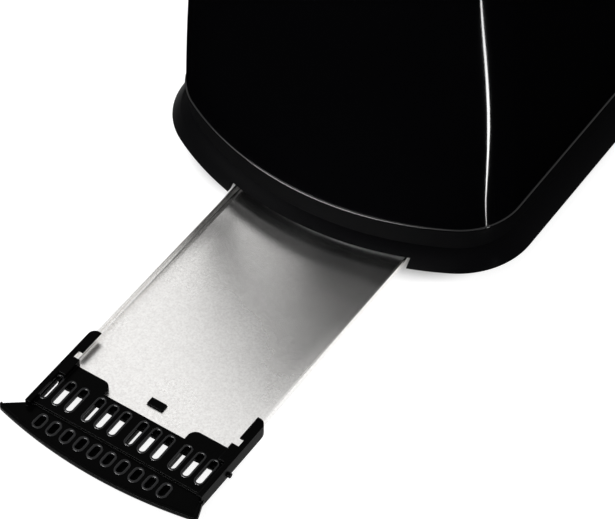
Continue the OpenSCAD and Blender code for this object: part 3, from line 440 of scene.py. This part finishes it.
def rounded_outline(cx, cy, width, height, radius, count=8, along=1):
    """Points of a rectangle with round corners, with its top and bottom in a number of steps."""
    points = []
    for sx, sy, quarter in ((1, 1, 0), (-1, 1, 1), (-1, -1, 2), (1, -1, 3)):
        points += arc(cx + sx * (width / 2 - radius), cy + sy * (height / 2 - radius), radius,
                      quarter * math.pi / 2, (quarter + 1) * math.pi / 2, count)
        if quarter % 2 == 0:
            points += [(cx + sx * (width / 2 - radius) * (1 - 2 * i / along), cy + sy * height / 2)
                       for i in range(1, along)]
    return points


arc_z = body_height - top_radius
top_angle = math.atan(lean + (arc_z - shell_z) / barrel_radius)
arc_inset = wall_inset(arc_z + top_radius * math.sin(top_angle)) + top_radius * math.cos(top_angle)
lip_z = shell_z + 2 * lip_radius
outside = arc(shell_foot + lip_radius - bead, shell_z + lip_radius, lip_radius, 1.5 * math.pi,
              math.radians(100), 14)
outside += [(wall_inset(z), z) for z in [lip_z + (arc_z - lip_z) * i / 40 for i in range(40)]]
outside += arc(arc_inset, arc_z, top_radius, math.pi - top_angle, math.pi / 2, 24)
inside = arc(arc_inset, arc_z, top_radius - wall, math.pi / 2, math.pi - top_angle, 8)
inside += [(wall_inset(z) + wall, z) for z in [shell_z + (arc_z - shell_z) * i / 8 for i in range(7, -1, -1)]]
shell = swept("shell", inside + outside, False)
frame_lo, frame_hi = [Vector(corner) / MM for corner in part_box("slot_frame")]
frame_y = (frame_lo.y + frame_hi.y) / 2
hole_room, frame_hole_corner = 0.2, 3.1
lever_slot_half, lever_slot_foot, lever_slot_top = 2.3, 67, 149
combine(shell, [
    prism("frame_hole", rounded_outline(0, frame_y, frame_hi.x - frame_lo.x + hole_room,
                                        frame_hi.y - frame_lo.y + hole_room, frame_hole_corner),
          body_height - 4, body_height + 2, "z"),
    block("lever_slot", (-lever_slot_half, middle_y + corner_y, lever_slot_foot),
          (lever_slot_half, rear_y, lever_slot_top)),
    prism("panel_window", rounded_outline(panel_z, 0, panel_height + hole_room, panel_width + hole_room,
                                          panel_radius + hole_room / 2), middle_y + corner_y, rear_y, "y"),
], "DIFFERENCE")
soften(shell, 0.3)
# A polished tool leaves no grain, only a faint long wave. The black is deep and its mirror dim.
gloss_abs = moulded("abs_gloss_moulded", "#040405", 0.07, 25.0, 0.004, specular=0.3, drift=0.01)
dress(shell, gloss_abs, "toaster", "shell_gloss", "outer_shell")

# ---------------------------------------------------------------------------
# Slot frame
# A shallow cap of brushed stainless steel let into the top, drawn from sheet
# and folded down round each bread slot.
# ---------------------------------------------------------------------------


def sheet_metal(name, colour, roughness, grain_mm, run, stretch, depth_mm, tone=0.12, cloud_mm=22.0):
    """Bare metal: fine streaks along its rolling or brushing, under faint clouds of wear."""
    material, tree = new_material(name)
    coords = add_node(tree, "ShaderNodeTexCoord")
    squeeze = [1 / (grain_mm * MM)] * 3
    squeeze["xyz".index(run)] /= stretch
    along = add_node(tree, "ShaderNodeMapping", {"Vector": coords.outputs["Object"], "Scale": squeeze})
    streaks = add_node(tree, "ShaderNodeTexNoise", {"Vector": along.outputs[0], "Scale": 1.0, "Detail": 4.0})
    clouds = add_node(tree, "ShaderNodeTexNoise", {"Vector": coords.outputs["Object"],
                                                   "Scale": 1 / (cloud_mm * MM), "Detail": 5.0})
    gloss = add_node(tree, "ShaderNodeMapRange", {"Value": clouds.outputs["Fac"], "To Min": roughness - 0.05,
                                                  "To Max": roughness + 0.08})
    level = add_node(tree, "ShaderNodeMapRange", {"Value": streaks.outputs["Fac"], "From Min": 0.3,
                                                  "From Max": 0.7})
    darker = [c * (1 - tone) for c in linear(colour)[:3]] + [1]
    tint = add_node(tree, "ShaderNodeMix", {0: level.outputs[0], 6: darker, 7: linear(colour)},
                    data_type="RGBA")
    bump = add_node(tree, "ShaderNodeBump", {"Height": streaks.outputs["Fac"], "Strength": 1.0,
                                             "Distance": depth_mm * MM})
    metal = add_node(tree, "ShaderNodeBsdfPrincipled", {
        "Base Color": tint.outputs[2], "Metallic": 1.0, "Roughness": gloss.outputs[0],
        "Normal": bump.outputs[0]})
    add_node(tree, "ShaderNodeOutputMaterial", {"Surface": metal.outputs[0]})
    return material


def finish_node(name, material, edge_mm=0.0):
    """Gives a node of the frame its material and, with modifiers, rounded edges."""
    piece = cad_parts[name]
    if not piece.material_slots:
        piece.data.materials.append(material)
    for place in piece.material_slots:
        place.material = material
    if edge_mm:
        weld = piece.modifiers.new("weld", "WELD")
        weld.merge_threshold = 0.002 * MM
        bevel = piece.modifiers.new("edges", "BEVEL")
        bevel.width = edge_mm * MM
        bevel.segments = 2
        bevel.limit_method = "ANGLE"
        bevel.angle_limit = math.radians(40)


# Brush lines a third of a millimetre apart run along the slots.
frame_steel = sheet_metal("stainless_steel_brushed", "#cfd0d1", 0.26, 0.33, "y", 40, 0.003)
finish_node("slot_frame", frame_steel, 0.25)

# ---------------------------------------------------------------------------
# Floor and runners
# Galvanised sheet: the floor over the feet, with the crumb opening, and two
# folded runners under it that carry the tray.
# ---------------------------------------------------------------------------
# Zinc freezes in dull crystals a few millimetres wide.
galvanised = sheet_metal("steel_galvanised", "#b4b7ba", 0.38, 2.5, "z", 1.0, 0.004, tone=0.2)
for name in ("base_plate", "tray_runner_left", "tray_runner_right"):
    finish_node(name, galvanised, 0.15)

# ---------------------------------------------------------------------------
# Crumb tray
# A pan folded from one sheet of stainless steel: its sides turn up and end in
# rolled hems, and the rear edge is turned up to keep the crumbs in.
# ---------------------------------------------------------------------------
sheet_t, hem_radius, fold_radius = 0.6, 0.7, 1.3
pan_half = (tray_hi.x - tray_lo.x) / 2


def pan_section():
    """Half of the tray's section, from its middle out: the pan's top, the side's inner face, and the hem."""
    bend = (pan_half - sheet_t - fold_radius, tray_lo.z + sheet_t + fold_radius)
    hem = (pan_half - hem_radius, tray_hi.z - hem_radius)
    top = [(bend[0] * i / 6, tray_lo.z + sheet_t) for i in range(6)]
    top += arc(*bend, fold_radius, -math.pi / 2, 0, 6)
    roll = arc(*hem, hem_radius, math.radians(215), math.radians(-20), 14)
    under = arc(*bend, fold_radius + sheet_t, 0, -math.pi / 2, 6)
    under += [(bend[0] * i / 6, tray_lo.z) for i in range(5, -1, -1)]
    return top + roll + [(pan_half, hem[1] - 1.0)] + under


half = pan_section()
section = half + [(-x, z) for x, z in reversed(half)][1:-1]
tray_steps = [tray_lo.y, tray_lo.y + 0.4]
tray_steps += [tray_lo.y + (tray_hi.y - tray_lo.y) * i / 12 for i in range(1, 12)]
tray_steps += [tray_hi.y - 0.4, tray_hi.y]
pan = lofted("tray_pan", [[(tray_x + x, y, z) for x, z in section] for y in tray_steps], False)
fold_left, fold_right = tray_x - pan_half + 0.5, tray_x + pan_half - 0.5
rear_fold = prism("rear_fold", [(tray_lo.z, fold_left), (tray_lo.z, fold_right),
                                (tray_hi.z - 0.1, fold_right), (tray_hi.z - 0.1, fold_left)],
                  tray_hi.y - sheet_t, tray_hi.y - 0.01, "y")
combine(pan, [rear_fold], "UNION")
handle_lo, handle_hi = [Vector(corner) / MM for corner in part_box("tray_handle")]
clip_y, clip_length, clip_width = handle_lo.y + 44.3, 3.8, 7.8
combine(pan, [block("clip_hole", (tray_x - clip_width / 2 - 0.3, clip_y - 0.3, 0),
                    (tray_x + clip_width / 2 + 0.3, clip_y + clip_length + 0.3, 7))], "DIFFERENCE")
soften(pan, 0.12, angle=40)

# Rolled stainless: bright and even, and it gives back everything near it as a soft blur.
tray_steel, tree = new_material("stainless_steel_rolled_satin")
coords = add_node(tree, "ShaderNodeTexCoord")
# The satin is a mat of tiny dimples, drawn 0.9 mm apart, that breaks each reflection into specks.
dimples = add_node(tree, "ShaderNodeTexNoise", {"Vector": coords.outputs["Object"], "Scale": 1 / (0.9 * MM),
                                                "Detail": 3.0, "Roughness": 0.6})
rolling = add_node(tree, "ShaderNodeMapping", {"Vector": coords.outputs["Object"],
                                               "Scale": [1 / (0.5 * MM), 1 / (14 * MM), 1 / (0.5 * MM)]})
streaks = add_node(tree, "ShaderNodeTexNoise", {"Vector": rolling.outputs[0], "Scale": 1.0, "Detail": 3.0})
stains = add_node(tree, "ShaderNodeTexNoise", {"Vector": coords.outputs["Object"], "Scale": 1 / (35 * MM),
                                               "Detail": 4.0})
relief = add_node(tree, "ShaderNodeMix", {0: 0.25, 2: dimples.outputs["Fac"], 3: streaks.outputs["Fac"]})
bump = add_node(tree, "ShaderNodeBump", {"Height": relief.outputs[0], "Strength": 1.0,
                                         "Distance": 0.012 * MM})
stained = add_node(tree, "ShaderNodeMapRange", {"Value": stains.outputs["Fac"], "From Min": 0.3,
                                                "From Max": 0.7, "To Min": -0.02, "To Max": 0.03})
# Crumbs and wiping scour the front of the pan; towards the inner end the rolled finish is still bright.
scoured_to, bright_from = tray_lo.y + 60, tray_lo.y + 160
along = add_node(tree, "ShaderNodeSeparateXYZ", {"Vector": coords.outputs["Object"]})
scoured = add_node(tree, "ShaderNodeMapRange", {"Value": along.outputs["Y"], "From Min": scoured_to * MM,
                                                "From Max": bright_from * MM, "To Min": 0.28, "To Max": 0.16})
gloss = add_node(tree, "ShaderNodeMath", {0: stained.outputs[0], 1: scoured.outputs[0]}, operation="ADD")
level = add_node(tree, "ShaderNodeMapRange", {"Value": dimples.outputs["Fac"], "From Min": 0.3,
                                              "From Max": 0.7})
tint = add_node(tree, "ShaderNodeMix", {0: level.outputs[0], 6: linear("#e2e0de"), 7: linear("#fbfaf8")},
                data_type="RGBA")
steel = add_node(tree, "ShaderNodeBsdfPrincipled", {
    "Base Color": tint.outputs[2], "Metallic": 1.0, "Roughness": gloss.outputs[0], "Normal": bump.outputs[0]})
add_node(tree, "ShaderNodeOutputMaterial", {"Surface": steel.outputs[0]})
dress(pan, tray_steel, "tray", "tray_steel", "crumb_tray")

# ---------------------------------------------------------------------------
# Tray handle
# Satin black ABS, clipped to the front of the pan: two arms grip its sides, a
# raised plate is pierced by slots, and the bowed front has a row of pockets.
# ---------------------------------------------------------------------------
# The handle is polished so fine that it stays black, with a soft light only on its rounded edges.
handle_abs = moulded("abs_satin_handle", "#030303", 0.26, 0.5, 0.006, specular=0.018, edge_mm=0.8)
finish_node("tray_handle", handle_abs, 0.3)

# A crosspiece under the plate closes the rear ends of the slots, with a rib beside each group.
seam_y, cross_half, cross_front, cross_back, cross_z, cross_top = handle_lo.y + 33.7, 43, 1.8, 1.9, 3.9, 6.6
group_pitch, slot_pitch, slots_shift = 22.9, 6.9, -1.5
slot_groups = (-1.5, -0.5, 0.5, 1.5)
crosspiece = prism("handle_crosspiece", [
    (seam_y - cross_front, cross_z), (seam_y + cross_back, cross_z), (seam_y + cross_back, cross_top),
    (seam_y - cross_front / 2, cross_top), (seam_y - cross_front, cross_top - cross_front / 2)],
    tray_x - cross_half, tray_x + cross_half, "x")
rib_offset, rib_length = 9.3, 14
ribs = []
for group, rib_width in zip(slot_groups, (1.0, 0.4, 0.8, 0.4)):
    x = tray_x + group * group_pitch + slots_shift - rib_offset
    ribs.append(block("rib", (x, seam_y - rib_length, cross_z + 0.1),
                      (x + rib_width, seam_y - 0.3, cross_top + 0.3)))
combine(crosspiece, ribs, "UNION")
soften(crosspiece, 0.15)
dress(crosspiece, handle_abs, "tray", "handle_plastic")


def gathered(name, parts):
    """One mesh object from several (points, faces) pairs."""
    verts, faces = [], []
    for points, polygons in parts:
        faces += [tuple(k + len(verts) for k in polygon) for polygon in polygons]
        verts += points
    return mesh_object(name, verts, faces)


def bead_round(x, y, length, width, z, radius, count=10):
    """A half sunk round bead along the edge of a slot that runs along Y from y; points and faces."""
    turn = width / 2
    path = arc(x, y + length - turn, turn, 0, math.pi, count)
    path += arc(x, y + turn, turn, math.pi, 2 * math.pi, count)
    points = []
    for px, py in path:
        middle = min(max(py, y + turn), y + length - turn)
        out = Vector((px - x, py - middle)).normalized()
        points += [((px + out.x * a) * MM, (py + out.y * a) * MM, (z + b) * MM)
                   for a, b in arc(0, 0, radius, 0, 2 * math.pi, count)[:-1]]
    faces = []
    for i in range(len(path)):
        a, b = i * count, (i + 1) % len(path) * count
        faces += [(a + k, a + (k + 1) % count, b + (k + 1) % count, b + k) for k in range(count)]
    return points, faces


# The mould leaves a rounded bead round every slot and pocket, drawn in a lighter and glossier copy of the
# handle's black: a painted highlight.
rim_highlight_abs = moulded("abs_rim_painted_highlight", "#08080a", 0.28, 0.5, 0.004, specular=0.25)
slot_y, slot_length, slot_width, slot_bead = handle_lo.y + 20.3, 14.6, 4.1, 0.55
pocket_y, pocket_length, pocket_width, pocket_bead = handle_lo.y + 6.75, 7.7, 4.4, 0.75
pocket_count, pocket_pitch, pockets_shift = 10, 7.3, -2.9
bead_sunk = 0.15
plate_top, front_top = handle_hi.z - 2.3 - bead_sunk, handle_hi.z - 3.8 - bead_sunk
beads = [bead_round(tray_x + group * group_pitch + i * slot_pitch + slots_shift, slot_y, slot_length,
                    slot_width, plate_top, slot_bead) for group in slot_groups for i in (-1, 0, 1)]
beads += [bead_round(tray_x + pockets_shift + (i - (pocket_count - 1) / 2) * pocket_pitch, pocket_y,
                     pocket_length, pocket_width, front_top, pocket_bead) for i in range(pocket_count)]
slot_beads = gathered("slot_beads", beads)
slot_beads.data.polygons.foreach_set("use_smooth", [True] * len(slot_beads.data.polygons))
dress(slot_beads, rim_highlight_abs, "tray", "handle_plastic")

# ---------------------------------------------------------------------------
# Chassis
# Two end plates of galvanised sheet stand on the floor. Bright aluminised
# sheet between them throws the heat back, and sloping sheets shed the crumbs.
# ---------------------------------------------------------------------------
for name in ("front_end_plate", "rear_end_plate", "crumb_chute_left", "crumb_chute_right"):
    finish_node(name, galvanised, 0.1)
# Hot dipped aluminium keeps a bright skin that mirrors the heaters as a soft glow.
reflector = sheet_metal("steel_aluminised_bright", "#dcdddf", 0.2, 0.5, "z", 20, 0.002)
for name in ("side_shield_left", "side_shield_right"):
    finish_node(name, reflector, 0.1)

# ---------------------------------------------------------------------------
# Heaters
# Pressed mica boards wound with nichrome ribbon, which heat has oxidised brown,
# behind guard wires of nickel plated steel that keep the bread off them.
# ---------------------------------------------------------------------------
# Mica flakes about a millimetre wide lie pressed flat in the board.
mica = moulded("mica_board_pressed", "#a08e70", 0.5, 1.2, 0.03)
for name in ("heater_board_left", "heater_board_centre", "heater_board_right"):
    finish_node(name, mica)
# Heat leaves a dull brown oxide on the ribbon, with faint draw lines.
nichrome = sheet_metal("nichrome_oxidised", "#6f6058", 0.5, 0.4, "y", 4, 0.003)
for name in ("heating_wire_left", "heating_wire_centre", "heating_wire_right"):
    finish_node(name, nichrome)
# Nickel plate over drawn wire is smooth and bright, with the faintest lines along it.
plated = sheet_metal("steel_nickel_plated", "#cfd0d2", 0.16, 0.4, "z", 4, 0.001)
for name in ("guard_wires_left_outer", "guard_wires_left_inner", "guard_wires_right_inner",
             "guard_wires_right_outer"):
    finish_node(name, plated)

# ---------------------------------------------------------------------------
# Carriage and lever
# A bracket folded from sheet slides on a ground rod with a nylon bush, and
# carries the two bread racks, the magnet's keeper and the gloss black lever knob.
# ---------------------------------------------------------------------------
finish_node("carriage_bracket", galvanised, 0.1)
for name in ("guide_rod", "bread_rack_left", "bread_rack_right"):
    finish_node(name, plated, 0.1)
# Oiled spring steel is a darker grey and only half bright.
spring_steel = sheet_metal("spring_steel_drawn", "#77797c", 0.35, 0.4, "z", 3, 0.002)
finish_node("keeper_plate", spring_steel, 0.2)

# The lift spring is wound from wire and its two end coils are closed up. It is drawn at one length, though
# the real spring shortens under the carriage.
spring_lo, spring_hi = [Vector(corner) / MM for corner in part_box("lift_spring")]
spring_x, spring_y = (spring_lo.x + spring_hi.x) / 2, (spring_lo.y + spring_hi.y) / 2
wire_radius, spring_turns, spring_steps, lever_travel = 0.6, 12, 24, 72
coil_radius = (spring_hi.x - spring_lo.x) / 2 - wire_radius
spring_rise = spring_hi.z - spring_lo.z - 2 * wire_radius
coils = []
for i in range(spring_turns * spring_steps + 1):
    turned_by = i / spring_steps
    share = min(max((turned_by - 1) / (spring_turns - 2), 0), 1)
    closed_up = 2 * wire_radius * (min(turned_by, 1) + max(turned_by - spring_turns + 1, 0))
    z = spring_lo.z + wire_radius + closed_up + share * (spring_rise - 4 * wire_radius)
    a = 2 * math.pi * turned_by
    coils.append([(spring_x + (coil_radius + wire_radius * math.cos(b)) * math.cos(a),
                   spring_y + (coil_radius + wire_radius * math.cos(b)) * math.sin(a),
                   z + wire_radius * math.sin(b))
                  for b in [2 * math.pi * k / 10 for k in range(10)]])
spring = lofted("lift_spring_wire", [list(reversed(ring)) for ring in coils], False)
spring.data.polygons.foreach_set("use_smooth", [True] * len(spring.data.polygons))
dress(spring, spring_steel, "toaster", "spring_steel", "lift_spring")
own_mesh(spring)

# Unpigmented nylon is a warm off white with a soft sheen.
nylon = moulded("nylon_natural_moulded", "#e6e2d8", 0.45, 0.5, 0.01, edge_mm=0.3)
finish_node("guide_bush", nylon)

knob_lo, knob_hi = [Vector(corner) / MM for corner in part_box("lever_knob")]
knob_x, knob_z = (knob_lo.x + knob_hi.x) / 2, (knob_lo.z + knob_hi.z) / 2


def knob_ring(y, shrink, dish):
    """Outline of the knob at depth y, drawn in by shrink; dish bows it back towards the ends."""
    width, height = knob_hi.x - knob_lo.x, knob_hi.z - knob_lo.z
    outline = rounded_outline(0, 0, width - 2 * shrink, height - 2 * shrink,
                              height / 2 - 0.6 - shrink * 0.8, 10, 12)
    return [(knob_x + x, y - dish * x * x / (2 * 60), knob_z + z) for x, z in outline]


edge = 2.2
rings = [knob_ring(knob_lo.y, 0.5, 0), knob_ring(knob_lo.y + 0.5, 0, 0)]
rings += [knob_ring(knob_lo.y + 0.5 + (knob_hi.y - knob_lo.y - edge - 0.5) * i / 6, 0, (i / 6) ** 2)
          for i in range(1, 7)]
rings += [knob_ring(knob_hi.y - edge + edge * math.sin(a), edge * (1 - math.cos(a)), 1)
          for a in [math.pi / 2 * i / 8 for i in range(1, 9)]]
rings += [knob_ring(knob_hi.y - 0.5 * i / 3, edge + 1.2 * i, 1) for i in range(1, 3)]
knob = lofted("lever_grip", [list(reversed(ring)) for ring in rings], False)
soften(knob, 0.1, angle=50)
# Gloss black controls catch a small bright line on each rounded edge.
gloss_control = moulded("abs_gloss_control", "#0a0a0b", 0.14, 3.0, 0.003, specular=0.4)
dress(knob, gloss_control, "carriage", "control_black", "lever_knob")

# ---------------------------------------------------------------------------
# Latch magnet
# A soft iron core with a coil of enamelled copper wire, on a folded bracket.
# ---------------------------------------------------------------------------
# Bare iron is dull and mid grey.
soft_iron = sheet_metal("iron_soft_bare", "#6b6c6f", 0.42, 0.6, "z", 2, 0.004)
finish_node("latch_magnet", soft_iron, 0.2)
# Turns of wire 0.3 mm apart ring the coil.
copper = sheet_metal("copper_enamelled_wound", "#b9673a", 0.3, 0.3, "x", 12, 0.02)
finish_node("magnet_coil", copper, 0.3)
finish_node("magnet_bracket", galvanised, 0.1)

# ---------------------------------------------------------------------------
# Circuit board
# Glass fibre board under green solder mask, with its moulded switches, the
# dial's potentiometer and the dial's plated shaft.
# ---------------------------------------------------------------------------
# The lacquer over the copper is a clear deep green with a low sheen.
solder_mask = moulded("solder_mask_green", "#1f5534", 0.35, 0.6, 0.01)
finish_node("circuit_board", solder_mask, 0.2)
# The small parts are moulded plastic, one black and one dull blue, with plain satin faces.
part_black = moulded("nylon_black_moulded", "#1e1e1f", 0.4, 0.5, 0.01, edge_mm=0.3)
finish_node("button_switches", part_black)
part_blue = moulded("polyester_blue_moulded", "#2b4257", 0.4, 0.5, 0.01, edge_mm=0.3)
finish_node("browning_control", part_blue)
finish_node("dial_shaft", plated, 0.1)

# ---------------------------------------------------------------------------
# Control panel
# A satin black moulding that follows the bowed end and stands a little proud
# of the shell, with pad printed dots round the dial for the degree of browning.
# ---------------------------------------------------------------------------
# A fine moulded grain gives the panel a grey sheen that sets it off from the glossy shell.
panel_abs = moulded("abs_satin_panel", "#0e0e0f", 0.36, 0.5, 0.01, specular=0.3, edge_mm=0.4)
finish_node("control_panel", panel_abs, 0.4)
panel_proud = 1.2


def panel_face(x, z):
    """Y of the panel's bowed front at x and z."""
    reach = end_radius - wall_inset(z) + panel_proud
    return middle_y + end_y + math.sqrt(reach ** 2 - x ** 2)


def printed_dot(x, z, radius, count=20):
    """A thin disc of ink on the panel."""
    rim = arc(x, z, radius, 0, 2 * math.pi, count)[:-1]
    back = [(px * MM, (panel_face(px, pz) - 0.02) * MM, pz * MM) for px, pz in rim]
    face = [(px * MM, (panel_face(px, pz) + 0.04) * MM, pz * MM) for px, pz in rim]
    sides = [(i, (i + 1) % count, count + (i + 1) % count, count + i) for i in range(count)]
    return back + face, sides + [tuple(range(count - 1, -1, -1)), tuple(range(count, 2 * count))]


# Seven dots, each a little larger than the last.
scale_radius, scale_start, scale_step = 16.1, -135, 45
dots = []
for step in range(7):
    angle = math.radians(scale_start + scale_step * step)
    dots.append(printed_dot(-scale_radius * math.sin(angle), panel_z + scale_radius * math.cos(angle),
                            0.3 + 0.04 * step))
scale_dots = gathered("browning_dots", dots)
# Pad printing ink dries flat and light grey, with no shine.
ink = moulded("ink_pad_printed_grey", "#c9c9c6", 0.5, 0.2, 0.004)
dress(scale_dots, ink, "toaster", "panel_satin")

# ---------------------------------------------------------------------------
# Browning dial and buttons
# Gloss black mouldings: a knurled dial with a painted pointer, and four push
# buttons with dished caps, each on a stem that reaches its switch.
# ---------------------------------------------------------------------------


def turned(name, profile, centre, count, knurl=None):
    """Turns (radius, y) points about a line along Y through centre (x, z)."""
    rings = []
    for radius, y in profile:
        ring = []
        for k in range(count):
            angle = 2 * math.pi * k / count
            reach = radius * (knurl(angle, y) if knurl else 1)
            ring.append((centre[0] + reach * math.cos(angle), y, centre[1] - reach * math.sin(angle)))
        rings.append(ring)
    return lofted(name, rings, False)


dial_lo, dial_hi = [Vector(corner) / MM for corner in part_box("browning_dial")]
dial_radius = (dial_hi.x - dial_lo.x) / 2
grip_from, grip_to = dial_lo.y + 5, dial_hi.y - 1.6


def knurling(angle, y):
    """Thirty-six shallow flutes on the dial's grip."""
    depth = 0.028 if grip_from - 0.1 < y < grip_to + 0.1 else 0
    return 1 - depth * (0.5 + 0.5 * math.cos(36 * angle)) ** 2


top_y = dial_hi.y - 0.4
dial = turned("dial_cap", [
    (dial_radius - 0.6, dial_lo.y), (dial_radius, dial_lo.y + 0.5), (dial_radius, dial_lo.y + 2.6),
    (dial_radius - 0.4, dial_lo.y + 3.1), (dial_radius - 1.6, dial_lo.y + 3.9),
    (dial_radius - 1.7, grip_from - 0.2),
    (dial_radius - 1.7, grip_from), (dial_radius - 2.2, grip_to), (dial_radius - 2.3, grip_to + 0.2),
    (dial_radius - 2.6, top_y - 0.5), (dial_radius - 3.2, top_y - 0.1), (dial_radius - 4, top_y),
    (dial_radius - 5, top_y - 0.25), (4, top_y - 0.5), (1, top_y - 0.5)], (0, panel_z), 288, knurling)
soften(dial, 0.08, angle=50)
dress(dial, gloss_control, "dial", "control_black", "browning_dial")
pointer = prism("dial_pointer", rounded_outline(panel_z + 7.7, 0, 7.4, 1.4, 0.6), top_y - 0.6,
                dial_hi.y - 0.05, "y")
soften(pointer, 0.15)
dress(pointer, ink, "dial", "control_black")

# Each cap's flange waits behind the bowed panel, clear of its back.
flange_sunk, flange_gap = 3.8, 0.8
for name, body in (("cancel_button", "cancel"), ("reheat_button", "reheat"), ("defrost_button", "defrost"),
                   ("bun_button", "bun")):
    low, high = [Vector(corner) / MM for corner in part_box(name)]
    flange_radius = (high.x - low.x) / 2
    cap_radius, stem_radius = flange_radius - 1.2, 2
    x = (low.x + high.x) / 2
    outer_end = abs(x) + flange_radius
    seat_arc = end_radius - wall_inset(panel_z) - flange_sunk
    flange_y = middle_y + end_y + math.sqrt(seat_arc ** 2 - outer_end ** 2) - flange_gap
    button = turned(name + "_cap", [
        (stem_radius, low.y), (stem_radius, flange_y - 1.5), (flange_radius, flange_y - 1.5),
        (flange_radius, flange_y), (cap_radius, flange_y), (cap_radius, high.y - 0.9),
        (cap_radius - 0.25, high.y - 0.3), (cap_radius - 0.8, high.y), (cap_radius - 1.4, high.y - 0.05),
        (cap_radius - 2.6, high.y - 0.4), (cap_radius - 4.2, high.y - 0.6), (0.5, high.y - 0.65)],
        (x, panel_z), 64)
    soften(button, 0.08, angle=50)
    dress(button, gloss_control, body, "control_black", name)

# ---------------------------------------------------------------------------
# Feet, cord inlet and wiring
# Four black rubber feet are pulled through the floor. A rubber grommet takes
# the mains cord to a block of screw terminals, and sleeved leads run on.
# ---------------------------------------------------------------------------
# Moulded rubber is matt and slightly grey.
rubber = moulded("rubber_black_moulded", "#101011", 0.75, 0.4, 0.02, specular=0.3, edge_mm=0.4)
for name in ("rubber_feet", "cord_bush"):
    finish_node(name, rubber, 0.3)
# The block and the sleeves are off white; the sleeves are softer and more matt.
polyamide = moulded("polyamide_white_moulded", "#dedbd1", 0.45, 0.5, 0.01, edge_mm=0.3)
finish_node("terminal_block", polyamide, 0.2)
silicone = moulded("silicone_sleeve_white", "#d9d8d2", 0.6, 0.5, 0.01)
finish_node("power_leads", silicone)
# Zinc plate on the screws is a pale grey with a clean, half bright surface.
zinc_screw = sheet_metal("steel_zinc_plated", "#a5a8ab", 0.3, 0.5, "z", 2, 0.002)
for name in ("base_screws", "chassis_screws"):
    finish_node(name, zinc_screw, 0.15)
